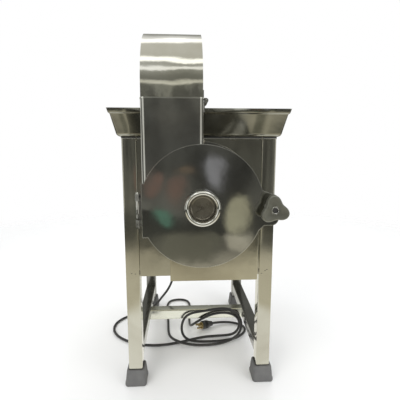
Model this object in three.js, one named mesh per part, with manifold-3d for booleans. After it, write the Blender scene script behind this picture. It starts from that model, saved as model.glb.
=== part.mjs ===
// A stainless hammer mill on four legs: feed tray and splash hood on top, grinding chamber with a hinged
// door on the front, direct-drive motor inside the cabinet, mains cord on the floor below.
// Units are millimetres, +Z is up, +X is the operator's right, and the operator stands on the -Y side.
import * as THREE from "three";
import { NURBSCurve } from "three/addons/curves/NURBSCurve.js";
import { mergeVertices } from "three/addons/utils/BufferGeometryUtils.js";
import Module from "manifold-3d";

const wasm = await Module();
wasm.setup();

// ---- Driving dimensions ----------------------------------------------------------------------------

const GAP = 0.3; // clearance between pieces that touch
const SHEET = 2; // sheet metal thickness

// Stand and cabinet
const HALF_WIDTH = 200;
const FRONT = -186; // front faces of the front legs
const BACK = 307; // back faces of the rear legs
const TUBE = 38;
const TUBE_WALL = 2;
const TUBE_CORNER = 3;
const CABINET_BOTTOM = 321;
const CABINET_TOP = 692;
const RAIL = { size: 36, bottom: 66 };
const CROSSBAR = { size: 35, front: 50, bottom: 66 };
const SHOE = { base: 60, top: 50, height: 46, sole: 6, pocketGap: 0.4, baseCorner: 8, pocketCorner: 3 };
const MOTOR_SHELF = { bottom: 428, front: -118, back: 150, flange: 24 };
const LOUVRE = { count: 7, width: 200, height: 10, pitch: 26, bottom: 430 };

// Feed tray: the floor's edges, and how far the walls lean out on their way up
const TRAY = { halfWidth: 212, front: -198, back: 319, bottom: CABINET_TOP + 0.6, rim: 760 };
const TRAY_WALL = { lean: 17, lipLean: 11, lipDrop: 13, bend: 10, bendSteps: 4 };

// Grinding chamber, around an axis along Y
const AXIS_X = 0;
const AXIS_Z = 527;
const CHAMBER_FRONT = -292;
const DRUM = { outer: 141, inner: 139, seatInner: 130, flange: 155, flangeThickness: 3, sides: 48 };
const FLANGE_FRONT = FRONT - GAP - DRUM.flangeThickness;
const SHAFT_HOLE = 22;

// Feed duct and splash hood
const DUCT = { left: -138, right: 4, top: 773, bottom: 567, corner: 12, rim: 1, rimHeight: 4 };
const HOOD = { inset: 2, straight: 22, radius: 150, lip: 10, arcSteps: 18 };
const HOOD_HINGE = { x: 10, z: 768, front: -282, length: 60, knuckle: 4.5, bore: 2.9, pin: 2.5, leafDrop: 26 };

// Discharge chute below the chamber
const CHUTE = { left: -78, right: 145, front: -246, bottom: 330 };
const OUTLET = { left: -76, right: 143, top: 497 };
const SCREEN = { outer: 138.3, inner: 136.3, from: -126, to: -8, slots: 14, slotWidth: 6, steps: 28 };

// Door, its hinge and its clamp
const GASKET = { thickness: 1.6, outer: 140.5, inner: 131 };
const DOOR = { radius: 144, thickness: 3, tabLeft: -139, tabBottom: 457, tabTop: 583 };
const DOOR_BACK = CHAMBER_FRONT - GASKET.thickness - 2 * GAP;
const DOOR_FACE = DOOR_BACK - DOOR.thickness;
const BOSS = { outer: 41, inner: 30, height: 25, lip: 3, capHeight: 9 };
const DOOR_HINGE = { x: -148, knuckle: 4.5, bore: 3.4, pin: 3, pinBottom: 479, pinTop: 563 };
const DOOR_KNUCKLES = [
  [491, 498.5],
  [543, 550.5],
];
const BRACKET_KNUCKLES = [
  [483, 490.5],
  [551, 558.5],
];
const EAR = { top: 562, bottom: 480, tipX: 163, tipRadius: 17, hole: 6.5 };
const CLAMP = { x: 160, z: 525, stud: 5.5, studTip: -268, lugBore: 7.5, washer: 16, washerThickness: 2 };
const KNOB = { mean: 28, lobe: 6, lobes: 3, turn: 98, front: -336, back: -318, hub: 14, bore: 5.9 };
const KNOB_DETAIL = { chamfer: 9, chamferDepth: 3, studEnd: -328, sides: 48 };
const LUG = { right: 178, halfHeight: 22, depth: 22 };

// Rotor with swinging hammers
const SHAFT = { radius: 12.5, front: -284, back: 172 };
const ROTOR = { radius: 78, front: -266, back: -205, disc: 5, hub: 28, bore: 12.8, pinCircle: 62, sides: 28 };
const PIN = { radius: 6, hole: 6.3, collar: 10, head: 9, headThickness: 2.5 };
const HAMMER = { count: 4, halfWidth: 13, heel: 13, reach: 64, thickness: 22, bore: 6.4 };
const ROTOR_NUT = { radius: 20, front: -282, bore: 12.8 };

// Motor
const MOTOR = { radius: 82, bore: 50, front: -95, back: 105, bell: 24, shaftBore: 13.2, sides: 28 };
const MOTOR_FOOT = { halfWidth: 70, thickness: 8, web: 50 };
const FAN_COVER = { radius: 80, back: 190, slots: 6, slotWidth: 9, slotLength: 34, slotFrom: 22 };
const FAN = { radius: 62, front: 140, back: 162, hub: 20, blades: 6, bladeWidth: 4 };
const ARMATURE = { radius: 46, front: -70, back: 80 };
const TERMINAL_BOX = { x: 0, halfWidth: 40, bottom: 606, top: 650, front: -30, back: 50 };

// Mains cord, its gland and its plug
const CORD = { radius: 4.3, steps: 80, sides: 8 };
const GLAND = { x: -75, y: 144, tip: 294, flange: 15, body: 11, tipRadius: 6.5 };
const PLUG = { entryRadius: 7, bodyRadius: 15, grip: 22, length: 46, carrier: 3 };
const PLUG_PIN = { earthRadius: 4, earthLength: 20, radius: 3.2, length: 16, spread: 13, earthRise: 6, pairDrop: 5 };

// Control points of the cord's centre line, from the gland to the plug. The line is a cubic B-spline that
// starts and ends on the first and last of them and passes smoothly inside the others.
const CORD_ROUTE = [
  [-75, 144, 294],
  [-75, 144, 236],
  [-86, 156, 150],
  [-134, 212, 76],
  [-172, 240, 8],
  [-250, 214, 5],
  [-314, 152, 5],
  [-300, 64, 5],
  [-220, 4, 5],
  [-140, -14, 5],
  [-56, 4, 5],
  [20, 38, 5],
  [92, 39, 5],
  [143, 36, 10],
  [160, 37, 62],
  [122, 39, 96],
  [48, 41, 90],
  [-12, 42, 50],
  [-24, 92, 12],
  [-24, 176, 5],
  [-18, 258, 5],
  [-22, 338, 5],
  [-114, 338, 5],
  [-116, 252, 5],
  [-104, 150, 5],
  [-102, 52, 9],
  [-84, -12, 26],
  [-14, -22, 5],
  [118, -10, 6],
  [166, 18, 44],
  [146, 38, 98],
  [92, 41, 112],
  [26, 40, 98],
  [-52, 40, 94],
  [-60, 6, 8],
  [34, 4, 5],
  [136, 10, 5],
  [192, 72, 5],
  [170, 122, 5],
  [106, 134, 7],
  [62, 112, 12.3],
];
const CORD_DEGREE = 3;


// ---- Materials -------------------------------------------------------------------------------------

const material = (color, roughness, metalness) => new THREE.MeshStandardMaterial({ color, roughness, metalness });
const POLISHED = () => material(0x8c8c80, 0.18, 1);
const SATIN = () => material(0xb5ae94, 0.35, 1);
const CHROME = () => material(0xe6e6e2, 0.08, 1);
const CAST = () => material(0x6e6f62, 0.5, 0.8);
const MILLED = () => material(0x9a9c9e, 0.4, 1);
const MOTOR_PAINT = () => material(0x49545c, 0.55, 0.1);
const RUBBER = () => material(0x6e6e6e, 0.85, 0);
const BLACK_PLASTIC = () => material(0x2c2c2c, 0.6, 0);
const BRASS = () => material(0xb59a57, 0.3, 1);

// ---- Geometry helpers ------------------------------------------------------------------------------

const radians = THREE.MathUtils.degToRad;

// Points of an arc from angle a to angle b, in degrees, ends included.
function arc(cx, cy, radius, a, b, steps) {
  return Array.from({ length: steps + 1 }, (_, i) => {
    const angle = radians(a + ((b - a) * i) / steps);
    return [cx + radius * Math.cos(angle), cy + radius * Math.sin(angle)];
  });
}

const circle = (cx, cy, radius, sides) => arc(cx, cy, radius, 0, 360, sides).slice(0, -1);

// Outline of a rectangle with round corners, anticlockwise.
function roundedRect(x0, x1, y0, y1, radius, steps = 3) {
  return [
    ...arc(x1 - radius, y1 - radius, radius, 0, 90, steps),
    ...arc(x0 + radius, y1 - radius, radius, 90, 180, steps),
    ...arc(x0 + radius, y0 + radius, radius, 180, 270, steps),
    ...arc(x1 - radius, y0 + radius, radius, 270, 360, steps),
  ];
}

const square = (cx, cy, size, radius, steps) =>
  roundedRect(cx - size / 2, cx + size / 2, cy - size / 2, cy + size / 2, radius, steps);

// Each plane's outline axes, followed by the direction it is extruded in.
const PLANES = {
  XY: [new THREE.Vector3(1, 0, 0), new THREE.Vector3(0, 1, 0), new THREE.Vector3(0, 0, 1)],
  XZ: [new THREE.Vector3(1, 0, 0), new THREE.Vector3(0, 0, 1), new THREE.Vector3(0, -1, 0)],
  YZ: [new THREE.Vector3(0, 1, 0), new THREE.Vector3(0, 0, 1), new THREE.Vector3(1, 0, 0)],
};

// Extrudes an outline drawn in a plane between two places on the plane's own axis.
function extrude(plane, outline, from, to, holes = []) {
  const points = (list) => list.map(([x, y]) => new THREE.Vector2(x, y));
  const shape = new THREE.Shape(points(outline));
  shape.holes = holes.map((hole) => new THREE.Path(points(hole)));
  const geometry = new THREE.ExtrudeGeometry(shape, { depth: to - from, bevelEnabled: false });
  const start = plane === "XZ" ? -to : from;
  geometry.translate(0, 0, start);
  return geometry.applyMatrix4(new THREE.Matrix4().makeBasis(...PLANES[plane]));
}

const box = (x0, x1, y0, y1, z0, z1) =>
  new THREE.BoxGeometry(x1 - x0, y1 - y0, z1 - z0).translate((x0 + x1) / 2, (y0 + y1) / 2, (z0 + z1) / 2);

const rodY = (x, z, radius, y0, y1, sides = 24) => extrude("XZ", circle(x, z, radius, sides), y0, y1);
const rodZ = (x, y, radius, z0, z1, sides = 20) => extrude("XY", circle(x, y, radius, sides), z0, z1);

// Turns a profile of [radius, height] points about the Y axis, in whichever order makes it face out.
function turned(profile, sides) {
  const points = profile.map(([radius, height]) => new THREE.Vector2(radius, height));
  const ordered = THREE.ShapeUtils.isClockWise(points) ? points.reverse() : points;
  return new THREE.LatheGeometry(ordered, sides);
}

const turnedY = (x, z, profile, sides) => turned(profile, sides).translate(x, 0, z);
const turnedZ = (x, y, profile, sides) => turned(profile, sides).rotateX(Math.PI / 2).translate(x, y, 0);

// Joins outlines of equal length, each at its own height, into one closed solid.
function loft(rings) {
  const count = rings[0].outline.length;
  const positions = rings.flatMap(({ outline, z }) => outline.flatMap(([x, y]) => [x, y, z]));
  const index = [];
  for (let ring = 0; ring + 1 < rings.length; ring++) {
    for (let i = 0; i < count; i++) {
      const a = ring * count + i;
      const b = ring * count + ((i + 1) % count);
      index.push(a, b, b + count, a, b + count, a + count);
    }
  }
  const last = (rings.length - 1) * count;
  for (let i = 1; i + 1 < count; i++) {
    index.push(0, i + 1, i);
    index.push(last, last + i, last + i + 1);
  }
  const geometry = new THREE.BufferGeometry();
  geometry.setAttribute("position", new THREE.Float32BufferAttribute(positions, 3));
  geometry.setIndex(index);
  return geometry;
}

// A closed geometry as a solid that can be joined and cut.
function solid(geometry) {
  const bare = geometry.clone();
  bare.deleteAttribute("normal");
  bare.deleteAttribute("uv");
  const merged = mergeVertices(bare, 1e-3);
  return new wasm.Manifold(
    new wasm.Mesh({
      numProp: 3,
      vertProperties: new Float32Array(merged.attributes.position.array),
      triVerts: new Uint32Array(merged.index.array),
    }),
  );
}

function geometryOf(manifold) {
  const mesh = manifold.getMesh();
  const geometry = new THREE.BufferGeometry();
  geometry.setAttribute("position", new THREE.BufferAttribute(new Float32Array(mesh.vertProperties), 3));
  geometry.setIndex(new THREE.BufferAttribute(new Uint32Array(mesh.triVerts), 1));
  geometry.computeVertexNormals();
  return geometry;
}

const join = (first, ...others) =>
  geometryOf(others.reduce((made, other) => made.add(solid(other)), solid(first)));
const cut = (first, ...tools) =>
  geometryOf(tools.reduce((made, tool) => made.subtract(solid(tool)), solid(first)));

// The same outline grown outwards all round.
const trayOutline = (offset) => {
  const { halfWidth, front, back } = TRAY;
  const x = halfWidth + offset;
  return [
    [x, back + offset],
    [-x, back + offset],
    [-x, front - offset],
    [x, front - offset],
  ];
};

function part(name, geometry, finish) {
  const mesh = new THREE.Mesh(geometry, finish());
  mesh.name = name;
  return mesh;
}

function group(...members) {
  const made = new THREE.Group();
  made.add(...members);
  return made;
}

// ---- Stand -----------------------------------------------------------------------------------------

const LEG_X = HALF_WIDTH - TUBE / 2;
const LEG_FRONT_Y = FRONT + TUBE / 2;
const LEG_BACK_Y = BACK - TUBE / 2;
const CORNERS = [
  ["front_left", -LEG_X, LEG_FRONT_Y],
  ["front_right", LEG_X, LEG_FRONT_Y],
  ["rear_left", -LEG_X, LEG_BACK_Y],
  ["rear_right", LEG_X, LEG_BACK_Y],
];

function squareTube(plane, cx, cy, size, from, to) {
  const inner = square(cx, cy, size - 2 * TUBE_WALL, TUBE_CORNER - 1, 2);
  return extrude(plane, square(cx, cy, size, TUBE_CORNER, 2), from, to, [inner]);
}

function leg(name, x, y) {
  return part(`leg_${name}`, squareTube("XY", x, y, TUBE, SHOE.sole + GAP, CABINET_TOP), POLISHED);
}

function shoe(name, x, y) {
  const pocket = TUBE + 2 * SHOE.pocketGap;
  const geometry = loft([
    { outline: square(x, y, SHOE.base, SHOE.baseCorner), z: 0 },
    { outline: square(x, y, SHOE.top, SHOE.baseCorner), z: SHOE.height },
    { outline: square(x, y, pocket, SHOE.pocketCorner), z: SHOE.height },
    { outline: square(x, y, pocket, SHOE.pocketCorner), z: SHOE.sole },
  ]);
  return part(`shoe_${name}`, geometry, RUBBER);
}

function sideRail(name, side) {
  const x = side * (HALF_WIDTH - 1 - RAIL.size / 2);
  const z = RAIL.bottom + RAIL.size / 2;
  const from = FRONT + TUBE + GAP;
  const to = BACK - TUBE - GAP;
  return part(`side_rail_${name}`, squareTube("XZ", x, z, RAIL.size, from, to), POLISHED);
}

function crossbar() {
  const reach = HALF_WIDTH - 1 - RAIL.size - GAP;
  const y = CROSSBAR.front + CROSSBAR.size / 2;
  const z = CROSSBAR.bottom + CROSSBAR.size / 2;
  return part("crossbar", squareTube("YZ", y, z, CROSSBAR.size, -reach, reach), POLISHED);
}

function stand() {
  return group(
    ...CORNERS.map(([name, x, y]) => leg(name, x, y)),
    ...CORNERS.map(([name, x, y]) => shoe(name, x, y)),
    sideRail("left", -1),
    sideRail("right", 1),
    crossbar(),
  );
}

// ---- Cabinet ---------------------------------------------------------------------------------------

const PANEL_HALF = HALF_WIDTH - TUBE - GAP;
const PANEL_FRONT_Y = FRONT + TUBE + GAP;
const PANEL_BACK_Y = BACK - TUBE - GAP;

function rectangle(x0, x1, y0, y1) {
  return [
    [x0, y0],
    [x1, y0],
    [x1, y1],
    [x0, y1],
  ];
}

function frontPanel() {
  const outline = rectangle(-PANEL_HALF, PANEL_HALF, CABINET_BOTTOM, CABINET_TOP);
  const hole = circle(AXIS_X, AXIS_Z, SHAFT_HOLE, 32);
  return part("front_panel", extrude("XZ", outline, FRONT, FRONT + SHEET, [hole]), POLISHED);
}

function rearPanel() {
  const outline = rectangle(-PANEL_HALF, PANEL_HALF, CABINET_BOTTOM, CABINET_TOP);
  const slots = Array.from({ length: LOUVRE.count }, (_, i) => {
    const z = LOUVRE.bottom + i * LOUVRE.pitch;
    return rectangle(-LOUVRE.width / 2, LOUVRE.width / 2, z, z + LOUVRE.height);
  });
  return part("rear_panel", extrude("XZ", outline, BACK - SHEET, BACK, slots), POLISHED);
}

function sidePanel(name, side) {
  const outer = side * HALF_WIDTH;
  const inner = side * (HALF_WIDTH - SHEET);
  const [x0, x1] = side > 0 ? [inner, outer] : [outer, inner];
  return part(
    `${name}_panel`,
    box(x0, x1, PANEL_FRONT_Y, PANEL_BACK_Y, CABINET_BOTTOM, CABINET_TOP),
    POLISHED,
  );
}

function cabinetBase() {
  const reach = HALF_WIDTH - SHEET - GAP;
  const outline = rectangle(-reach, reach, PANEL_FRONT_Y, PANEL_BACK_Y);
  const hole = circle(GLAND.x, GLAND.y, GLAND.body + GAP, 20);
  return part("cabinet_base", extrude("XY", outline, CABINET_BOTTOM, CABINET_BOTTOM + SHEET, [hole]), SATIN);
}

function motorShelf() {
  const reach = HALF_WIDTH - SHEET - GAP;
  const { bottom, front, back, flange } = MOTOR_SHELF;
  const thickness = 2 * SHEET;
  const section = [
    [front, bottom - flange],
    [front + thickness, bottom - flange],
    [front + thickness, bottom],
    [back - thickness, bottom],
    [back - thickness, bottom - flange],
    [back, bottom - flange],
    [back, bottom + thickness],
    [front, bottom + thickness],
  ];
  return part("motor_shelf", extrude("YZ", section, -reach, reach), SATIN);
}

function cabinet() {
  return group(
    frontPanel(),
    rearPanel(),
    sidePanel("left", -1),
    sidePanel("right", 1),
    cabinetBase(),
    motorShelf(),
  );
}

// ---- Feed tray, duct and hood ----------------------------------------------------------------------

function feedTray() {
  const { lean, lipLean, lipDrop, bend, bendSteps } = TRAY_WALL;
  const bendUp = arc(-bend, TRAY.bottom + bend, bend, -90, -12, bendSteps);
  const inside = arc(-bend, TRAY.bottom + bend, bend - SHEET, -12, -90, bendSteps);
  const profile = [
    ...bendUp,
    [lipLean, TRAY.rim - lipDrop],
    [lean, TRAY.rim],
    [lean - SHEET, TRAY.rim],
    [lipLean - SHEET, TRAY.rim - lipDrop],
    ...inside,
  ];
  const shell = loft(profile.map(([offset, z]) => ({ outline: trayOutline(offset), z })));
  const notch = box(
    DUCT.left - GAP,
    DUCT.right + GAP,
    TRAY.front - 2 * lean,
    FLANGE_FRONT,
    TRAY.bottom - 1,
    TRAY.rim + 1,
  );
  return part("feed_tray", cut(shell, notch), POLISHED);
}

// U-shaped outline with rounded front corners, closed along the back.
function ductOutline(inset) {
  const left = DUCT.left + inset;
  const right = DUCT.right - inset;
  const front = CHAMBER_FRONT + inset;
  const back = FLANGE_FRONT - GAP - inset;
  const radius = DUCT.corner - inset;
  return [
    [right, back],
    [left, back],
    ...arc(left + radius, front + radius, radius, 180, 270, 5),
    ...arc(right - radius, front + radius, radius, 270, 360, 5),
  ];
}

function feedDuct() {
  const walls = extrude("XY", ductOutline(0), DUCT.bottom, DUCT.top, [ductOutline(SHEET)]);
  const rim = extrude("XY", ductOutline(-DUCT.rim), DUCT.top - DUCT.rimHeight, DUCT.top, [ductOutline(1)]);
  const drum = rodY(AXIS_X, AXIS_Z, DRUM.outer + GAP, CHAMBER_FRONT - 10, FRONT + 10, DRUM.sides);
  const trayFloor = TRAY.bottom + SHEET;
  const mouth = box(
    DUCT.left + SHEET,
    DUCT.right - SHEET,
    FLANGE_FRONT - GAP - 2 * SHEET,
    FRONT,
    trayFloor,
    DUCT.top + 1,
  );
  const backLip = box(DUCT.left - 5, DUCT.right + 5, FLANGE_FRONT - GAP, FRONT, DUCT.bottom, DUCT.top + 1);
  return part("feed_duct", cut(join(walls, rim), drum, mouth, backLip), POLISHED);
}

// Side outline of the hood: up the front, round the quarter bend, and down the open back.
function hoodOutline(inset, extra) {
  const front = CHAMBER_FRONT + HOOD.inset;
  const bottom = DUCT.top + GAP;
  const centreY = front + HOOD.radius;
  const centreZ = bottom + HOOD.straight;
  const back = centreY + HOOD.lip + extra;
  return [
    [back, bottom - extra],
    [back, centreZ + HOOD.radius - inset],
    ...arc(centreY, centreZ, HOOD.radius - inset, 90, 180, HOOD.arcSteps),
    [front + inset, bottom - extra],
  ];
}

function splashHood() {
  const left = DUCT.left + HOOD.inset;
  const right = DUCT.right - HOOD.inset;
  const outer = extrude("YZ", hoodOutline(0, 0), left, right);
  const inner = extrude("YZ", hoodOutline(SHEET, 5), left + SHEET, right - SHEET);
  return part("splash_hood", cut(outer, inner), POLISHED);
}

const KNUCKLE_SHARE = 0.3; // each end knuckle's share of the hood hinge's length

function hoodHinge() {
  const { x, z, front, length, knuckle, bore, pin, leafDrop } = HOOD_HINGE;
  const back = front + length;
  const firstEnd = front + KNUCKLE_SHARE * length;
  const secondEnd = back - KNUCKLE_SHARE * length;
  const ductSide = DUCT.right + GAP;
  const hoodSide = DUCT.right - HOOD.inset + GAP;
  const rimTop = DUCT.top + 1;
  const pinHole = rodY(x, z, bore, front - 1, back + 1, 16);
  const lower = join(
    box(ductSide, ductSide + SHEET, front, back, z - leafDrop, z - knuckle),
    box(ductSide, x, front, firstEnd, z - knuckle - SHEET, z - SHEET),
    box(ductSide, x, secondEnd, back, z - knuckle - SHEET, z - SHEET),
    rodY(x, z, knuckle, front, firstEnd, 16),
    rodY(x, z, knuckle, secondEnd, back, 16),
  );
  const upper = join(
    box(hoodSide, hoodSide + SHEET, front, back, rimTop, rimTop + 16),
    box(hoodSide, x + 2, firstEnd + GAP, secondEnd - GAP, rimTop, rimTop + SHEET),
    box(x - 2, x + 2, firstEnd + GAP, secondEnd - GAP, z, rimTop + SHEET),
    rodY(x, z, knuckle, firstEnd + GAP, secondEnd - GAP, 16),
  );
  return group(
    part("hood_hinge_lower_leaf", cut(lower, pinHole), MILLED),
    part("hood_hinge_upper_leaf", cut(upper, pinHole), MILLED),
    part("hood_hinge_pin", rodY(x, z, pin, front - 1, back + 1, 16), MILLED),
  );
}

// ---- Grinding chamber and chute --------------------------------------------------------------------

function chamberCasing() {
  const back = FRONT - GAP;
  const profile = [
    [SHAFT_HOLE, back],
    [SHAFT_HOLE, back - SHEET],
    [DRUM.inner, back - SHEET],
    [DRUM.inner, CHAMBER_FRONT + SHEET],
    [DRUM.seatInner, CHAMBER_FRONT + SHEET],
    [DRUM.seatInner, CHAMBER_FRONT],
    [DRUM.outer, CHAMBER_FRONT],
    [DRUM.outer, FLANGE_FRONT],
    [DRUM.flange, FLANGE_FRONT],
    [DRUM.flange, back],
    [SHAFT_HOLE, back],
  ];
  const drum = turnedY(AXIS_X, AXIS_Z, profile, DRUM.sides);
  const infeed = box(
    DUCT.left + SHEET,
    DUCT.right - SHEET,
    CHAMBER_FRONT + SHEET,
    FLANGE_FRONT - SHEET,
    DUCT.bottom,
    DUCT.bottom + DRUM.flange,
  );
  const outlet = box(
    OUTLET.left,
    OUTLET.right,
    CHUTE.front + SHEET,
    FLANGE_FRONT - SHEET,
    AXIS_Z - DRUM.flange,
    OUTLET.top,
  );
  return part("chamber_casing", cut(drum, infeed, outlet), POLISHED);
}

function screen() {
  const { outer, inner, from, to, slots, slotWidth, steps } = SCREEN;
  const outline = [
    ...arc(AXIS_X, AXIS_Z, outer, from, to, steps),
    ...arc(AXIS_X, AXIS_Z, inner, to, from, steps),
  ];
  const sheet = extrude("XZ", outline, CHAMBER_FRONT + SHEET + GAP, FLANGE_FRONT);
  const cutters = Array.from({ length: slots }, (_, i) => {
    const angle = from + ((to - from) * (i + 1)) / (slots + 1);
    const tool = box(inner - 2, outer + 2, CHUTE.front + 4, FLANGE_FRONT - 6, -slotWidth / 2, slotWidth / 2);
    return tool.rotateY(-radians(angle)).translate(AXIS_X, 0, AXIS_Z);
  });
  return part("screen", cut(sheet, ...cutters), MILLED);
}

function dischargeChute() {
  const back = FLANGE_FRONT - GAP;
  const { left, right, front, bottom } = CHUTE;
  const walls = extrude("XY", rectangle(left, right, front, back), bottom, AXIS_Z, [
    rectangle(left + SHEET, right - SHEET, front + SHEET, back - SHEET),
  ]);
  const drum = rodY(AXIS_X, AXIS_Z, DRUM.outer + GAP, front - 10, FRONT + 10, DRUM.sides);
  return part("discharge_chute", cut(walls, drum), SATIN);
}

function shaftSeal() {
  const inner = SHAFT.radius + 0.6;
  const outer = SHAFT_HOLE - GAP;
  const back = FRONT + SHEET + 1;
  const front = FRONT - GAP - 2 * SHEET - 2;
  const profile = [
    [inner, front],
    [outer, front],
    [outer, back],
    [inner, back],
    [inner, front],
  ];
  return part("shaft_seal", turnedY(AXIS_X, AXIS_Z, profile, 20), RUBBER);
}

function chamber() {
  return group(chamberCasing(), screen(), dischargeChute(), shaftSeal());
}

// ---- Door, hinge and clamp -------------------------------------------------------------------------

const HINGE_Y = (DOOR_BACK + DOOR_FACE) / 2;

function doorHinge() {
  const { x, knuckle, bore, pin, pinBottom, pinTop } = DOOR_HINGE;
  const low = BRACKET_KNUCKLES[0][0];
  const high = BRACKET_KNUCKLES[1][1];
  const strapFront = CHAMBER_FRONT + 3;
  const strap = box(x - 2, x + 20, strapFront, strapFront + 25, low, high);
  const arms = BRACKET_KNUCKLES.flatMap(([from, to]) => [
    box(x - 2, x + 2, HINGE_Y, strapFront + 2, from, to),
    rodZ(x, HINGE_Y, knuckle, from, to),
  ]);
  const drum = rodY(AXIS_X, AXIS_Z, DRUM.outer + GAP, CHAMBER_FRONT - 20, FRONT, DRUM.sides);
  const pinHole = rodZ(x, HINGE_Y, bore, pinBottom, pinTop);
  return group(
    part("door_hinge_bracket", cut(join(strap, ...arms), drum, pinHole), MILLED),
    part("door_hinge_pin", rodZ(x, HINGE_Y, pin, pinBottom, pinTop), CHROME),
  );
}

// The door's ear, from the disc out to its round end.
function earOutline() {
  const { top, bottom, tipX, tipRadius } = EAR;
  return [
    [100, bottom - 8],
    [132, bottom - 8],
    [146, bottom + 3],
    ...arc(tipX - 1, bottom + 3 + tipRadius, tipRadius, 270, 360, 4),
    ...arc(tipX - 1, top - 5 - tipRadius, tipRadius, 0, 75, 4),
    [138, top + 4],
    [100, top + 4],
  ];
}

function chamberDoor() {
  const { radius, tabLeft, tabBottom, tabTop } = DOOR;
  const { x, knuckle, bore, pinBottom, pinTop } = DOOR_HINGE;
  const disc = rodY(AXIS_X, AXIS_Z, radius, DOOR_FACE, DOOR_BACK, 72);
  const tab = extrude("XZ", rectangle(tabLeft, -90, tabBottom, tabTop), DOOR_FACE, DOOR_BACK);
  const ear = extrude("XZ", earOutline(), DOOR_FACE, DOOR_BACK);
  const knuckles = DOOR_KNUCKLES.flatMap(([from, to]) => [
    box(x, tabLeft + 2, DOOR_FACE, DOOR_BACK, from, to),
    rodZ(x, HINGE_Y, knuckle, from, to),
  ]);
  const leftTrim = box(-200, tabLeft, DOOR_FACE - 1, DOOR_BACK + 1, AXIS_Z - radius, AXIS_Z + radius);
  const plate = join(cut(join(disc, tab), leftTrim), ear, ...knuckles);
  const studHole = rodY(CLAMP.x, CLAMP.z, EAR.hole, DOOR_FACE - 1, DOOR_BACK + 1);
  const pinHole = rodZ(x, HINGE_Y, bore, pinBottom, pinTop);
  return part("chamber_door", cut(plate, studHole, pinHole), POLISHED);
}

function doorGasket() {
  const back = CHAMBER_FRONT - GAP;
  const front = back - GASKET.thickness;
  const ring = extrude("XZ", circle(AXIS_X, AXIS_Z, GASKET.outer, 40), front, back, [
    circle(AXIS_X, AXIS_Z, GASKET.inner, 40),
  ]);
  return part("door_gasket", ring, RUBBER);
}

function doorBoss() {
  const base = DOOR_FACE - GAP;
  const { outer, inner, height, lip, capHeight } = BOSS;
  const face = base - height;
  const ring = [
    [inner, base],
    [inner, face + lip],
    [inner + lip / 2, face],
    [outer - lip, face],
    [outer - lip / 3, face + lip / 2],
    [outer, face + 2 * lip],
    [outer, base],
    [inner, base],
  ];
  const capFace = base - capHeight;
  const cap = [
    [0, base],
    [0, capFace],
    [inner - 6, capFace],
    [inner - 3, capFace + 2],
    [inner - GAP, capFace + 2],
    [inner - GAP, base],
    [0, base],
  ];
  return group(
    part("boss_ring", turnedY(AXIS_X, AXIS_Z, ring, 40), CHROME),
    part("boss_cap", turnedY(AXIS_X, AXIS_Z, cap, 40), POLISHED),
  );
}

// Outline of the three-lobed knob, in the plane of its face.
function knobOutline() {
  const { mean, lobe, lobes, turn } = KNOB;
  return Array.from({ length: KNOB_DETAIL.sides }, (_, i) => {
    const degrees = (360 * i) / KNOB_DETAIL.sides;
    const radius = mean + lobe * Math.cos(radians(lobes * (degrees - turn)));
    return [CLAMP.x + radius * Math.cos(radians(degrees)), CLAMP.z + radius * Math.sin(radians(degrees))];
  });
}

function clampKnob() {
  const { front, back, hub, bore } = KNOB;
  const { chamfer, chamferDepth } = KNOB_DETAIL;
  const washerFront = DOOR_FACE - GAP - CLAMP.washerThickness;
  const body = join(
    extrude("XZ", knobOutline(), front, back),
    rodY(CLAMP.x, CLAMP.z, hub, back - 1, washerFront - GAP),
  );
  const hole = rodY(CLAMP.x, CLAMP.z, bore, front - 1, washerFront);
  const sink = turnedY(
    CLAMP.x,
    CLAMP.z,
    [
      [0, front - 1],
      [chamfer + 1, front - 1],
      [bore - 1, front + chamferDepth],
      [0, front + chamferDepth],
    ],
    24,
  );
  return part("clamp_knob", cut(body, hole, sink), CAST);
}

function clamp() {
  const { x, z, stud, studTip, lugBore, washer, washerThickness } = CLAMP;
  const lug = extrude(
    "XZ",
    roundedRect(x - 35, LUG.right, z - LUG.halfHeight, z + LUG.halfHeight, 6),
    CHAMBER_FRONT,
    CHAMBER_FRONT + LUG.depth,
    [circle(x, z, lugBore, 24)],
  );
  const drum = rodY(AXIS_X, AXIS_Z, DRUM.outer + GAP, CHAMBER_FRONT - 1, FRONT, DRUM.sides);
  const washerBack = DOOR_FACE - GAP;
  const ring = extrude("XZ", circle(x, z, washer, 32), washerBack - washerThickness, washerBack, [
    circle(x, z, stud + 0.5, 24),
  ]);
  return group(
    part("clamp_lug", cut(lug, drum), MILLED),
    part("clamp_washer", ring, MILLED),
    part("clamp_stud", rodY(x, z, stud, KNOB_DETAIL.studEnd, studTip), MILLED),
    clampKnob(),
  );
}

function door() {
  return group(doorHinge(), chamberDoor(), doorGasket(), doorBoss(), clamp());
}

// ---- Rotor -----------------------------------------------------------------------------------------

const HAMMER_ANGLES = Array.from({ length: HAMMER.count }, (_, i) => (360 * i) / HAMMER.count);
const SPACE_FRONT = ROTOR.front + ROTOR.disc;
const SPACE_BACK = ROTOR.back - ROTOR.disc;
const PLANE_GAP = 1; // side clearance of each hammer

// Hammers on opposite pins share a plane; neighbours sit in the other one, so they can't meet.
const hammerStart = (i) => (i % 2 ? SPACE_FRONT + PLANE_GAP : SPACE_BACK - PLANE_GAP - HAMMER.thickness);

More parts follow.
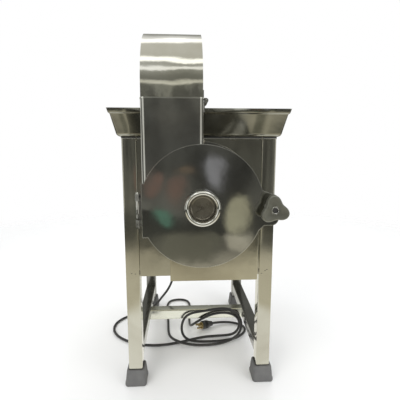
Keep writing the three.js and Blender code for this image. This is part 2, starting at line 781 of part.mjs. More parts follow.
function rotorBody() {
  const { radius, front, back, disc, hub, bore, pinCircle, sides } = ROTOR;
  const body = join(
    rodY(AXIS_X, AXIS_Z, radius, front, front + disc, sides),
    rodY(AXIS_X, AXIS_Z, radius, back - disc, back, sides),
    rodY(AXIS_X, AXIS_Z, hub, front + 1, back - 1, 32),
  );
  const holes = HAMMER_ANGLES.map((angle) => {
    const x = AXIS_X + pinCircle * Math.cos(radians(angle));
    const z = AXIS_Z + pinCircle * Math.sin(radians(angle));
    return rodY(x, z, PIN.hole, front - 1, back + 1, 12);
  });
  return part("rotor", cut(body, rodY(AXIS_X, AXIS_Z, bore, front - 1, back + 1, 32), ...holes), MILLED);
}

// A pin from disc to disc, with a head outside each disc and a collar beside its hammer.
function hammerPin(i, angle) {
  const { radius, collar, head, headThickness } = PIN;
  const { front, back, pinCircle } = ROTOR;
  const start = hammerStart(i);
  const end = start + HAMMER.thickness;
  const [from, to] = i % 2 ? [end + GAP, SPACE_BACK - GAP] : [SPACE_FRONT + GAP, start - GAP];
  const profile = [
    [0, front - GAP - headThickness],
    [head, front - GAP - headThickness],
    [head, front - GAP],
    [radius, front - GAP],
    [radius, from],
    [collar, from],
    [collar, to],
    [radius, to],
    [radius, back + GAP],
    [head, back + GAP],
    [head, back + GAP + headThickness],
    [0, back + GAP + headThickness],
  ];
  const x = AXIS_X + pinCircle * Math.cos(radians(angle));
  const z = AXIS_Z + pinCircle * Math.sin(radians(angle));
  return part(`hammer_pin_${i + 1}`, turnedY(x, z, profile, 12), MILLED);
}

function hammer(i, angle) {
  const { halfWidth, heel, reach, thickness, bore } = HAMMER;
  const start = hammerStart(i);
  const outline = roundedRect(-heel, reach, -halfWidth, halfWidth, 4, 2);
  const blade = extrude("XZ", outline, start, start + thickness, [circle(0, 0, bore, 20)]);
  const mesh = part(`hammer_${i + 1}`, blade, MILLED);
  mesh.rotation.y = -radians(angle);
  mesh.position.set(
    AXIS_X + ROTOR.pinCircle * Math.cos(radians(angle)),
    0,
    AXIS_Z + ROTOR.pinCircle * Math.sin(radians(angle)),
  );
  return mesh;
}

function rotor() {
  const nut = cut(
    rodY(AXIS_X, AXIS_Z, ROTOR_NUT.radius, ROTOR_NUT.front, ROTOR.front - GAP, 6),
    rodY(AXIS_X, AXIS_Z, ROTOR_NUT.bore, ROTOR_NUT.front - 1, ROTOR.front, 32),
  );
  return group(
    part("motor_shaft", rodY(AXIS_X, AXIS_Z, SHAFT.radius, SHAFT.front, SHAFT.back, 32), MILLED),
    rotorBody(),
    part("rotor_nut", nut, MILLED),
    ...HAMMER_ANGLES.map((angle, i) => hammerPin(i, angle)),
    ...HAMMER_ANGLES.map((angle, i) => hammer(i, angle)),
  );
}

// ---- Motor -----------------------------------------------------------------------------------------

function motorFrame() {
  const { radius, bore, front, back, sides } = MOTOR;
  const footBottom = MOTOR_SHELF.bottom + 2 * SHEET + GAP;
  const { halfWidth, thickness, web } = MOTOR_FOOT;
  const body = join(
    rodY(AXIS_X, AXIS_Z, radius, front, back, sides),
    box(-halfWidth, halfWidth, front + 20, back - 20, footBottom, footBottom + thickness),
    box(-web, web, front + 20, back - 20, footBottom, AXIS_Z - radius / 2),
  );
  return part("motor_frame", cut(body, rodY(AXIS_X, AXIS_Z, bore, front - 1, back + 1, 32)), MOTOR_PAINT);
}

function motorBell(name, near, far) {
  const { radius, shaftBore, sides } = MOTOR;
  const outward = Math.sign(far - near);
  const profile = [
    [shaftBore, near],
    [radius, near],
    [radius, near + outward * 10],
    [radius - 14, far - outward * 6],
    [34, far - outward * 6],
    [34, far],
    [shaftBore, far],
    [shaftBore, near],
  ];
  return part(name, turnedY(AXIS_X, AXIS_Z, profile, sides), MOTOR_PAINT);
}

function fanCover() {
  const start = MOTOR.back + MOTOR.bell + GAP;
  const { radius, back, slots, slotWidth, slotLength, slotFrom } = FAN_COVER;
  const shell = turnedY(
    AXIS_X,
    AXIS_Z,
    [
      [radius - SHEET, start],
      [radius, start],
      [radius, back - 8],
      [radius - 8, back],
      [0, back],
      [0, back - SHEET],
      [radius - 8, back - SHEET],
      [radius - SHEET, back - 8],
      [radius - SHEET, start],
    ],
    MOTOR.sides,
  );
  const cutters = Array.from({ length: slots }, (_, i) => {
    const tool = box(slotFrom, slotFrom + slotLength, back - 5, back + 1, -slotWidth / 2, slotWidth / 2);
    return tool.rotateY(-radians((360 * i) / slots)).translate(AXIS_X, 0, AXIS_Z);
  });
  return part("motor_fan_cover", cut(shell, ...cutters), MOTOR_PAINT);
}

function motorFan() {
  const { radius, front, back, hub, blades, bladeWidth } = FAN;
  const vanes = Array.from({ length: blades }, (_, i) => {
    const vane = box(hub - 2, radius, front + 2, back, -bladeWidth / 2, bladeWidth / 2);
    return vane.rotateY(-radians((360 * i) / blades)).translate(AXIS_X, 0, AXIS_Z);
  });
  const disc = rodY(AXIS_X, AXIS_Z, radius, front, front + 3, 32);
  const boss = rodY(AXIS_X, AXIS_Z, hub, front, back, 24);
  const bore = rodY(AXIS_X, AXIS_Z, SHAFT.radius + GAP, front - 1, back + 1, 32);
  return part("motor_fan", cut(join(disc, boss, ...vanes), bore), BLACK_PLASTIC);
}

function armature() {
  const { radius, front, back } = ARMATURE;
  const hole = circle(AXIS_X, AXIS_Z, SHAFT.radius + GAP, 32);
  return part("motor_armature", extrude("XZ", circle(AXIS_X, AXIS_Z, radius, 32), front, back, [hole]), MILLED);
}

function terminalBox() {
  const { x, halfWidth, bottom, top, front, back } = TERMINAL_BOX;
  const body = extrude("XY", roundedRect(x - halfWidth, x + halfWidth, front, back, 6), bottom, top);
  const barrel = rodY(AXIS_X, AXIS_Z, MOTOR.radius + GAP, front - 1, back + 1, MOTOR.sides);
  return part("terminal_box", cut(body, barrel), MOTOR_PAINT);
}

function motor() {
  return group(
    motorFrame(),
    motorBell("motor_front_bell", MOTOR.front - GAP, MOTOR.front - MOTOR.bell),
    motorBell("motor_rear_bell", MOTOR.back + GAP, MOTOR.back + MOTOR.bell),
    fanCover(),
    motorFan(),
    armature(),
    terminalBox(),
  );
}

// ---- Mains cord ------------------------------------------------------------------------------------

// The B-spline through the route, with its first and last knots repeated so that it reaches both ends.
function cordPath() {
  const spans = CORD_ROUTE.length - CORD_DEGREE;
  const knots = Array.from({ length: CORD_ROUTE.length + CORD_DEGREE + 1 }, (_, i) =>
    THREE.MathUtils.clamp(i - CORD_DEGREE, 0, spans),
  );
  const points = CORD_ROUTE.map(([x, y, z]) => new THREE.Vector4(x, y, z, 1));
  return new NURBSCurve(CORD_DEGREE, knots, points);
}

function cordGland() {
  const { x, y, tip, flange, body, tipRadius } = GLAND;
  const seat = CABINET_BOTTOM - GAP;
  const profile = [
    [0, CABINET_BOTTOM + 12],
    [body, CABINET_BOTTOM + 12],
    [body, seat],
    [flange, seat],
    [flange, seat - 6],
    [body - 2, seat - 10],
    [tipRadius, tip + GAP],
    [0, tip + GAP],
  ];
  return part("cord_gland", turnedZ(x, y, profile, 24), BLACK_PLASTIC);
}

function mainsCord(path) {
  const section = new THREE.Shape(circle(0, 0, CORD.radius, CORD.sides).map(([x, y]) => new THREE.Vector2(x, y)));
  const tube = new THREE.ExtrudeGeometry(section, {
    steps: CORD.steps,
    bevelEnabled: false,
    extrudePath: path,
  });
  return part("mains_cord", tube, BLACK_PLASTIC);
}

// The plug is drawn along +Z from its cord entry, then laid in line with the cord's end.
function plug(path) {
  const { entryRadius, bodyRadius, grip, length, carrier } = PLUG;
  const { earthRadius, earthLength, radius, length: pinLength, spread, earthRise, pairDrop } = PLUG_PIN;
  const profile = [
    [0, GAP],
    [entryRadius, GAP],
    [entryRadius + 1, grip / 2],
    [bodyRadius - 2, grip],
    [bodyRadius, grip + 6],
    [bodyRadius, length],
    [0, length],
  ];
  const face = length + GAP;
  const pinStart = face + carrier - 1;
  const pinEnd = face + carrier + pinLength;
  const pins = join(
    rodZ(0, 0, bodyRadius - 2, face, face + carrier, 24),
    rodZ(0, earthRise, earthRadius, pinStart, face + carrier + earthLength, 12),
    rodZ(-spread / 2, -pairDrop, radius, pinStart, pinEnd, 12),
    rodZ(spread / 2, -pairDrop, radius, pinStart, pinEnd, 12),
  );
  const laid = group(
    part("plug_body", turnedZ(0, 0, profile, 24), BLACK_PLASTIC),
    part("plug_pins", pins, BRASS),
  );
  laid.position.copy(path.getPoint(1));
  laid.quaternion.setFromUnitVectors(new THREE.Vector3(0, 0, 1), path.getTangent(1));
  return laid;
}

function cord() {
  const path = cordPath();
  return group(cordGland(), mainsCord(path), plug(path));
}

// ---- The whole machine -----------------------------------------------------------------------------

export default group(
  stand(),
  cabinet(),
  feedTray(),
  feedDuct(),
  splashHood(),
  hoodHinge(),
  chamber(),
  door(),
  rotor(),
  motor(),
  cord(),
);
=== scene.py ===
# A polished stainless hammer mill on a pale studio floor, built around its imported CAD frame.
# Lengths are metres, +Z is up, and the operator stands on the -Y side.
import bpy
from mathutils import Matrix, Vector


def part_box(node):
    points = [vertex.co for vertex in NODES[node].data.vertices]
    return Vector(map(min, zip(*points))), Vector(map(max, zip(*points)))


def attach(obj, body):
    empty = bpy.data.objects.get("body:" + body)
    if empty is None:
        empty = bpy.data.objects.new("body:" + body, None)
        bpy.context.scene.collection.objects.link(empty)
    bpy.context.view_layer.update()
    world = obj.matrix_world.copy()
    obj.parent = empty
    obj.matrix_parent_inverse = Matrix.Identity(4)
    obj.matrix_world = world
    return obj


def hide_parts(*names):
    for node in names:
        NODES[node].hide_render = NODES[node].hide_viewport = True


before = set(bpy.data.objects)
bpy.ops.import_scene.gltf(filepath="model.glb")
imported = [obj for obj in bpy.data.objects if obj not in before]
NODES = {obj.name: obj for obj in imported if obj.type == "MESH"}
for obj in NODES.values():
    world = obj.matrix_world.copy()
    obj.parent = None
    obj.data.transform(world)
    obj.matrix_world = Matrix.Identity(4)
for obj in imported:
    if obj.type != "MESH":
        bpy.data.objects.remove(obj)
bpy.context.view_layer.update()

import math

import bmesh
import bpy
from mathutils import Matrix, Vector

MM = 0.001
TAU = 2 * math.pi
SCENE = bpy.context.scene

# ---- Camera ------------------------------------------------------------------------------------------

CAMERA_PLACE = (-0.0434, -1.025, 0.651)
CAMERA_TILT = 81.7  # degrees up from straight down
CAMERA_TURN = -2.99
CAMERA_LENS = 28.98
SENSOR = 36
CLIP = (0.02, 200)


def make_camera():
    data = bpy.data.cameras.new("camera")
    data.lens = CAMERA_LENS
    data.sensor_width = SENSOR
    data.clip_start, data.clip_end = CLIP
    camera = bpy.data.objects.new("camera", data)
    camera.location = CAMERA_PLACE
    camera.rotation_euler = (math.radians(CAMERA_TILT), 0, math.radians(CAMERA_TURN))
    SCENE.collection.objects.link(camera)
    SCENE.camera = camera


make_camera()

# ---- Nodes and materials -----------------------------------------------------------------------------


class Nodes:
    """A node tree being wired up, with short names for the nodes that recur."""

    def __init__(self, tree, place):
        self.tree = tree
        self.place = self.node("ShaderNodeTexCoord").outputs[place]

    def node(self, kind, **settings):
        made = self.tree.nodes.new(kind)
        for key, value in settings.items():
            setattr(made, key, value)
        return made

    def link(self, output, socket):
        self.tree.links.new(output, socket)

    def feed(self, value, socket):
        """Links an output to a socket, or sets the socket to a number or a colour."""
        if isinstance(value, tuple):
            socket.default_value = (*value, 1)
        elif isinstance(value, (int, float)):
            socket.default_value = value
        else:
            self.link(value, socket)

    def math(self, operation, *values):
        made = self.node("ShaderNodeMath", operation=operation)
        for socket, value in zip(made.inputs, values):
            self.feed(value, socket)
        return made.outputs[0]

    def vector(self, operation, *values):
        """Arithmetic on vectors, each an output or three plain numbers."""
        made = self.node("ShaderNodeVectorMath", operation=operation)
        for socket, value in zip(made.inputs, values):
            if isinstance(value, tuple):
                socket.default_value = value
            else:
                self.link(value, socket)
        return made.outputs["Value" if operation == "LENGTH" else "Vector"]

    def stretched(self, scale):
        mapping = self.node("ShaderNodeMapping")
        mapping.inputs["Scale"].default_value = scale
        self.link(self.place, mapping.inputs["Vector"])
        return mapping.outputs["Vector"]

    def noise(self, scale, detail=4, stretch=None, rough=0.5, distortion=0, output="Fac"):
        made = self.node("ShaderNodeTexNoise")
        settings = {"Scale": scale, "Detail": detail, "Roughness": rough, "Distortion": distortion}
        for key, number in settings.items():
            made.inputs[key].default_value = number
        self.link(self.stretched(stretch) if stretch else self.place, made.inputs["Vector"])
        return made.outputs[output]

    def spread(self, value, low, high, to_low=0.0, to_high=1.0):
        made = self.node("ShaderNodeMapRange")
        for key, number in zip(("From Min", "From Max", "To Min", "To Max"), (low, high, to_low, to_high)):
            made.inputs[key].default_value = number
        self.link(value, made.inputs["Value"])
        return made.outputs["Result"]

    def mix(self, factor, first, second, blend="MIX"):
        made = self.node("ShaderNodeMix", data_type="RGBA", blend_type=blend)
        for value, key in ((factor, "Factor"), (first, 6), (second, 7)):
            self.feed(value, made.inputs[key])
        return made.outputs[2]

    def ramp(self, value, stops):
        """Colours at stated values, with the value's own range taken from the first and last of them."""
        low, high = stops[0][0], stops[-1][0]
        made = self.node("ShaderNodeValToRGB")
        self.link(self.spread(value, low, high), made.inputs["Fac"])
        elements = made.color_ramp.elements
        while len(elements) < len(stops):
            elements.new(0.5)
        for element, (place, color) in zip(elements, stops):
            element.position = (place - low) / (high - low)
            element.color = (*color, 1)
        return made.outputs["Color"]


class Shader(Nodes):
    """A material with a surface: its colour, its roughness and its relief."""

    def __init__(self, name, color, metallic, roughness):
        self.material = bpy.data.materials.new(name)
        self.material.use_nodes = True
        super().__init__(self.material.node_tree, "Object")
        self.bsdf = self.tree.nodes["Principled BSDF"]
        for key, value in (("Base Color", color), ("Metallic", metallic), ("Roughness", roughness)):
            self.feed(value, self.bsdf.inputs[key])

    def color(self, output):
        self.link(output, self.bsdf.inputs["Base Color"])

    def roughness(self, output):
        self.link(output, self.bsdf.inputs["Roughness"])

    def bump(self, *layers):
        """Each layer is a height and its depth in metres; they are stacked."""
        normal = None
        for height, depth in layers:
            made = self.node("ShaderNodeBump")
            made.inputs["Strength"].default_value = 1
            made.inputs["Distance"].default_value = depth
            self.link(height, made.inputs["Height"])
            if normal:
                self.link(normal, made.inputs["Normal"])
            normal = made.outputs["Normal"]
        self.link(normal, self.bsdf.inputs["Normal"])


HAIRLINE = {"scale": 1100, "depth": 0.000004}
TOOL_MARK = {"stretch": (1, 0.06, 1), "depth": 0.00003}


def steel(name, color, stain, roughness, grain, wave=0.0004, wave_scale=7):
    """Stainless sheet: faint stains, uneven polish, hairline brushing along its grain, and soft dents."""
    made = Shader(name, color, 1, roughness)
    clouds = made.noise(5, 5, distortion=0.6)
    made.color(made.mix(made.spread(clouds, 0.42, 0.68), color, stain))
    smudges = made.noise(16, 6, rough=0.62)
    made.roughness(made.spread(smudges, 0.35, 0.75, roughness * 0.75, roughness * 1.5))
    hairlines = made.noise(HAIRLINE["scale"], 3, stretch=grain)
    dents = made.noise(wave_scale, 1)
    ripples = made.noise(wave_scale * 4, 2)
    made.bump((dents, wave * 10), (ripples, wave * 0.5), (hairlines, HAIRLINE["depth"]))
    return made.material


def machined(name, color, roughness, rings=900):
    """Turned or milled steel: fine tool marks and a little uneven colour."""
    made = Shader(name, color, 1, roughness)
    patches = made.noise(30, 4)
    made.color(made.mix(made.spread(patches, 0.35, 0.7), color, tuple(c * 0.72 for c in color)))
    made.roughness(made.spread(made.noise(70, 5), 0.3, 0.7, roughness * 0.8, roughness * 1.35))
    made.bump((made.noise(rings, 2, stretch=TOOL_MARK["stretch"]), TOOL_MARK["depth"]))
    return made.material


def dull(name, color, worn, roughness, grit=260, depth=0.00012, metallic=0.0):
    """Paint, rubber, plastic or cast metal: mottled colour, uneven polish, and a fine surface grit."""
    made = Shader(name, color, metallic, roughness)
    mottle = made.noise(24, 6, rough=0.6)
    made.color(made.mix(made.spread(mottle, 0.38, 0.72), color, worn))
    made.roughness(made.spread(made.noise(45, 4), 0.3, 0.7, roughness * 0.85, min(1, roughness * 1.15)))
    made.bump((made.noise(grit, 3), depth), (made.noise(14, 2), depth * 3))
    return made.material


ALONG_X, ALONG_Y, ALONG_Z = (0.03, 1, 1), (1, 0.03, 1), (1, 1, 0.03)
# These are copies of one stainless steel in different tones. The paler, warmer copies for the hood, the front
# legs, the crossbar, the panels and the chute paint a reflection of the pale floor into their base colour.
# The darkest copy, for the rear legs and rails, paints shade, and the bright copy for edges paints
# highlights.
MATERIALS = {
    "dark_sheet": steel("dark_sheet", (0.56, 0.56, 0.54), (0.41, 0.395, 0.365), 0.12, ALONG_Z),
    "door_sheet": steel("door_sheet", (0.54, 0.54, 0.515), (0.42, 0.41, 0.385), 0.09, ALONG_X, 0.0003),
    # painted reflection: lightened for the bright bands the hood reflects
    "hood_sheet": steel("hood_sheet", (0.80, 0.79, 0.74), (0.66, 0.645, 0.57), 0.075, ALONG_X, 0.0005, 10),
    "tray_sheet": steel("tray_sheet", (0.48, 0.48, 0.44), (0.36, 0.355, 0.31), 0.15, ALONG_X),
    # painted reflection: pale and warm for the floor the front legs reflect
    "leg_tube": steel("leg_tube", (0.68, 0.67, 0.60), (0.54, 0.52, 0.45), 0.12, ALONG_Z, 0.0001, 9),
    # painted shade: a darker copy of the leg steel for the shade and dark reflections under the cabinet
    "shaded_tube": steel("shaded_tube", (0.29, 0.29, 0.28), (0.20, 0.20, 0.19), 0.2, ALONG_Z, 0.0002, 9),
    # painted reflection: pale for the floor the crossbar's face reflects
    "bar_tube": steel("bar_tube", (0.86, 0.87, 0.79), (0.70, 0.70, 0.62), 0.2, ALONG_X, 0.0002, 9),
    # painted reflection: warm tone of the floor the panels reflect
    "panel_sheet": steel("panel_sheet", (0.62, 0.61, 0.54), (0.46, 0.445, 0.385), 0.13, ALONG_Z, 0.0005),
    # painted reflection: warm tone of the floor the chute and base reflect
    "chute_sheet": steel("chute_sheet", (0.68, 0.66, 0.56), (0.53, 0.50, 0.41), 0.15, ALONG_X),
    "chrome": steel("chrome", (0.88, 0.88, 0.86), (0.80, 0.79, 0.75), 0.05, ALONG_Y, 0.0001, 20),
    # painted highlight: a paler copy of the steel for thin rims and lips, to show bright lines along edges
    "highlight_steel": steel("highlight_steel", (0.82, 0.82, 0.79), (0.70, 0.69, 0.64), 0.22, ALONG_X, 0.0001, 20),
    "knob_cast": dull("knob_cast", (0.27, 0.27, 0.235), (0.19, 0.19, 0.16), 0.42, 300, 0.0002, 0.85),
    "milled": machined("milled", (0.50, 0.50, 0.49), 0.3),
    "turned_dark": machined("turned_dark", (0.34, 0.315, 0.27), 0.3),
    "weld": machined("weld", (0.42, 0.39, 0.34), 0.38, 300),
    "motor_paint": dull("motor_paint", (0.07, 0.10, 0.125), (0.045, 0.06, 0.075), 0.42),
    "grey_rubber": dull("grey_rubber", (0.118, 0.118, 0.117), (0.16, 0.158, 0.152), 0.72, 420, 0.00025),
    "black_rubber": dull("black_rubber", (0.022, 0.022, 0.023), (0.05, 0.048, 0.045), 0.5, 500, 0.0001),
    "black_plastic": dull("black_plastic", (0.02, 0.02, 0.021), (0.045, 0.043, 0.04), 0.45, 600, 0.00008),
    "brass": machined("brass", (0.42, 0.33, 0.17), 0.28),
}

# ---- Geometry helpers --------------------------------------------------------------------------------

PLANES = {
    "XY": Matrix(((1, 0, 0, 0), (0, 1, 0, 0), (0, 0, 1, 0), (0, 0, 0, 1))),
    "XZ": Matrix(((1, 0, 0, 0), (0, 0, -1, 0), (0, 1, 0, 0), (0, 0, 0, 1))),
    "YZ": Matrix(((0, 0, 1, 0), (1, 0, 0, 0), (0, 1, 0, 0), (0, 0, 0, 1))),
}
AXES = {
    "X": Matrix(((0, 0, 1, 0), (1, 0, 0, 0), (0, 1, 0, 0), (0, 0, 0, 1))),
    "Y": Matrix(((1, 0, 0, 0), (0, 0, 1, 0), (0, -1, 0, 0), (0, 0, 0, 1))),
    "Z": Matrix.Identity(4),
}
SMOOTH_UNDER = 32  # degrees: flatter edges than this are shaded round
EDGE = 0.0005  # how far a sheet's cut edges are rounded


def arc(cx, cy, radius, start, end, steps):
    angles = (math.radians(start + (end - start) * i / steps) for i in range(steps + 1))
    return [(cx + radius * math.cos(a), cy + radius * math.sin(a)) for a in angles]


def circle(cx, cy, radius, steps=64):
    """A closed ring of points, without the last one twice."""
    return arc(cx, cy, radius, 0, 360, steps)[:-1]


def rounded(x0, x1, y0, y1, radius, steps=6):
    return [
        *arc(x1 - radius, y1 - radius, radius, 0, 90, steps),
        *arc(x0 + radius, y1 - radius, radius, 90, 180, steps),
        *arc(x0 + radius, y0 + radius, radius, 180, 270, steps),
        *arc(x1 - radius, y0 + radius, radius, 270, 360, steps),
    ]


def shade(mesh, under=SMOOTH_UNDER):
    mesh.shade_smooth()
    mesh.set_sharp_from_angle(angle=math.radians(under))


def new_object(name, mesh, under=SMOOTH_UNDER):
    shade(mesh, under)
    made = bpy.data.objects.new(name, mesh)
    SCENE.collection.objects.link(made)
    return made


def mesh_of(name, points, faces):
    """A mesh with its doubled points merged and its faces turned outwards."""
    mesh = bpy.data.meshes.new(name)
    mesh.from_pydata(points, [], faces)
    tidy = bmesh.new()
    tidy.from_mesh(mesh)
    bmesh.ops.remove_doubles(tidy, verts=tidy.verts, dist=1e-6)
    bmesh.ops.recalc_face_normals(tidy, faces=tidy.faces)
    tidy.to_mesh(mesh)
    tidy.free()
    return mesh


def round_edges(target, width=EDGE, segments=2, angle=40):
    bevel = target.modifiers.new("edges", "BEVEL")
    bevel.width = width
    bevel.segments = segments
    bevel.limit_method = "ANGLE"
    bevel.angle_limit = math.radians(angle)
    bevel.harden_normals = True
    return target


def prism(name, plane, loops, low, high):
    """The area inside the first loop and outside the others, made solid from low to high across its plane."""
    data = bpy.data.curves.new(name, "CURVE")
    data.dimensions = "2D"
    data.fill_mode = "BOTH"
    data.extrude = (high - low) / 2
    for loop in loops:
        spline = data.splines.new("POLY")
        spline.points.add(len(loop) - 1)
        for point, (x, y) in zip(spline.points, loop):
            point.co = (x, y, 0, 1)
        spline.use_cyclic_u = True
    carrier = bpy.data.objects.new(name, data)
    rough = bpy.data.meshes.new_from_object(carrier)
    middle = (high + low) / 2 * (-1 if plane == "XZ" else 1)
    rough.transform(PLANES[plane] @ Matrix.Translation((0, 0, middle)))
    points = [tuple(v.co) for v in rough.vertices]
    faces = [tuple(p.vertices) for p in rough.polygons]
    bpy.data.objects.remove(carrier)
    bpy.data.curves.remove(data)
    bpy.data.meshes.remove(rough)
    return new_object(name, mesh_of(name, points, faces))


def block(name, low, high):
    (x0, y0, z0), (x1, y1, z1) = low, high
    return prism(name, "XY", [[(x0, y0), (x1, y0), (x1, y1), (x0, y1)]], z0, z1)


def turned(name, axis, centre, profile, steps=96, closed=True):
    """A profile of (radius, along) points turned about an axis through centre, a point across that axis."""
    rows = profile + profile[:1] if closed else profile
    points, faces = [], []
    for radius, along in rows:
        for i in range(steps):
            turn = TAU * i / steps
            points.append(AXES[axis] @ Vector((radius * math.cos(turn), radius * math.sin(turn), along)))
    for row in range(len(rows) - 1):
        for i in range(steps):
            a, b = row * steps + i, row * steps + (i + 1) % steps
            faces.append((a, b, b + steps, a + steps))
    middle = {"X": (0, *centre), "Y": (centre[0], 0, centre[1]), "Z": (*centre, 0)}[axis]
    return new_object(name, mesh_of(name, [tuple(p + Vector(middle)) for p in points], faces))


def loft(name, rings, caps=(True, True), under=SMOOTH_UNDER):
    """Joins rings of equally many points, and closes the first and last where caps says so."""
    count = len(rings[0])
    points = [tuple(p) for ring in rings for p in ring]
    faces = []
    for row in range(len(rings) - 1):
        for i in range(count):
            a, b = row * count + i, row * count + (i + 1) % count
            faces.append((a, b, b + count, a + count))
    if caps[0]:
        faces.append(tuple(range(count)))
    if caps[1]:
        faces.append(tuple(range((len(rings) - 1) * count, len(rings) * count)))
    return new_object(name, mesh_of(name, points, faces), under)


def carve(target, *tools, operation="DIFFERENCE"):
    """Cuts the tools out of the target, or joins them to it, and removes the tools."""
    for tool in tools:
        step = target.modifiers.new("cut", "BOOLEAN")
        step.operation = operation
        step.solver = "EXACT"
        step.object = tool
    bpy.context.view_layer.update()
    mesh = bpy.data.meshes.new_from_object(target.evaluated_get(bpy.context.evaluated_depsgraph_get()))
    target.modifiers.clear()
    target.data = mesh
    shade(mesh)
    for tool in tools:
        bpy.data.objects.remove(tool)
    return target


def joined(name, *members):
    """Several separate shells as one piece, without cutting them."""
    points, faces = [], []
    for member in members:
        start = len(points)
        points += [tuple(v.co) for v in member.data.vertices]
        faces += [tuple(start + i for i in p.vertices) for p in member.data.polygons]
        bpy.data.objects.remove(member)
    mesh = bpy.data.meshes.new(name)
    mesh.from_pydata(points, [], faces)
    return new_object(name, mesh)


def bead(name, path, radius, pitch=0.0035, sides=10):
    """A weld bead: a fat line along a path, with a ripple at every pitch."""
    points = [Vector(p) for p in path]
    rings, along = [], 0.0
    for i, point in enumerate(points):
        ahead = points[min(i + 1, len(points) - 1)] - points[max(i - 1, 0)]
        across = ahead.cross(Vector((0, 0, 1)))
        across = across if across.length > 1e-6 * ahead.length else ahead.cross(Vector((0, 1, 0)))
        across.normalize()
        up = across.cross(ahead).normalized()
        along += (point - points[max(i - 1, 0)]).length
        size = radius * (0.86 + 0.14 * math.sin(TAU * along / pitch))
        end = min(i, len(points) - 1 - i)
        size *= min(1, 0.45 + 0.3 * end)
        turns = (TAU * k / sides for k in range(sides))
        rings.append([point + size * (math.cos(t) * across + math.sin(t) * up) for t in turns])
    return loft(name, rings, under=70)


def line_between(start, end, step=0.0008):
    start, end = Vector(start), Vector(end)
    count = max(2, round((end - start).length / step))
    return [start.lerp(end, i / count) for i in range(count + 1)]


def paint(target, material):
    target.data.materials.clear()
    target.data.materials.append(MATERIALS[material])


def piece(target, body, material, replaces=()):
    """Finishes a new piece: its material, the body it moves with, and the CAD nodes that it stands for."""
    paint(target, material)
    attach(target, body)
    if replaces:
        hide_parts(*replaces)
    return target


def keep(node, material, width=EDGE, segments=2):
    """Shows a CAD node as it is, with its edges rounded and a finish."""
    shown = NODES[node]
    shade(shown.data, 50)
    paint(shown, material)
    return round_edges(shown, width, segments)


# ---- Mains cord --------------------------------------------------------------------------------------

CORD_ROUTE = [  # control points of a cubic B-spline, millimetres, from the gland to the plug
    (-75, 144, 294),
    (-75, 144, 236),
    (-86, 156, 150),
    (-134, 212, 76),
    (-172, 240, 8),
    (-250, 214, 5),
    (-314, 152, 5),
    (-300, 64, 5),
    (-220, 4, 5),
    (-140, -14, 5),
    (-56, 4, 5),
    (20, 38, 5),
    (92, 39, 5),
    (143, 36, 10),
    (160, 37, 62),
    (122, 39, 96),
    (48, 41, 90),
    (-12, 42, 50),
    (-24, 92, 12),
    (-24, 176, 5),
    (-18, 258, 5),
    (-22, 338, 5),
    (-114, 338, 5),
    (-116, 252, 5),
    (-104, 150, 5),
    (-102, 52, 9),
    (-84, -12, 26),
    (-14, -22, 5),
    (118, -10, 6),
    (166, 18, 44),
    (146, 38, 98),
    (92, 41, 112),
    (26, 40, 98),
    (-52, 40, 94),
    (-60, 6, 8),
    (34, 4, 5),
    (136, 10, 5),
    (192, 72, 5),
    (170, 122, 5),
    (106, 134, 7),
    (62, 112, 12.3),
]
CORD_DIAMETER = 8.6 * MM
RELIEF = {"length": 0.036, "wide": 0.0068, "narrow": 0.0052, "ribs": 7, "rib": 0.0007}
GRIP = [(0.0068, 0.0003), (0.0085, 0.002), (0.0095, 0.008), (0.0125, 0.018), (0.0146, 0.024)]
PLUG_FACE = 0.046
PLUG_RADIUS = 0.0149
PLUG_CARRIER = (0.0128, 0.0462, 0.049)  # radius, and from where to where along the plug
PIN_SET = [  # radius, across, up, length beyond the face of each pin
    (0.0040, 0, 0.006, 0.0228),
    (0.0032, -0.0065, -0.005, 0.0188),
    (0.0032, 0.0065, -0.005, 0.0188),
]


def cord_curve():
    data = bpy.data.curves.new("cord_line", "CURVE")
    data.dimensions = "3D"
    data.bevel_depth = CORD_DIAMETER / 2
    data.bevel_resolution = 5
    data.use_fill_caps = True
    spline = data.splines.new("NURBS")
    spline.points.add(len(CORD_ROUTE) - 1)
    for point, (x, y, z) in zip(spline.points, CORD_ROUTE):
        point.co = (x * MM, y * MM, z * MM, 1)
    spline.order_u = 4
    spline.use_endpoint_u = True
    spline.resolution_u = 10
    cord = bpy.data.objects.new("flex_cord", data)
    SCENE.collection.objects.link(cord)
    return piece(cord, "frame", "black_rubber", ["mains_cord"])


def strain_relief(exit_point):
    """A tapered sleeve with ribs round the cord, below the gland."""
    rows = 8 * RELIEF["ribs"]
    profile = [(CORD_DIAMETER / 2 - 0.0004, 0.002)]
    for i in range(rows + 1):
        share = i / rows
        rib = RELIEF["rib"] * max(0, math.cos(TAU * RELIEF["ribs"] * share))
        taper = RELIEF["wide"] + (RELIEF["narrow"] - RELIEF["wide"]) * share
        profile.append((taper + rib, -RELIEF["length"] * share))
    profile.append((CORD_DIAMETER / 2 - 0.0004, -RELIEF["length"]))
    sleeve = turned("strain_relief", "Z", (0, 0), profile, 48)
    sleeve.data.transform(Matrix.Translation(exit_point))
    return piece(sleeve, "frame", "black_plastic")


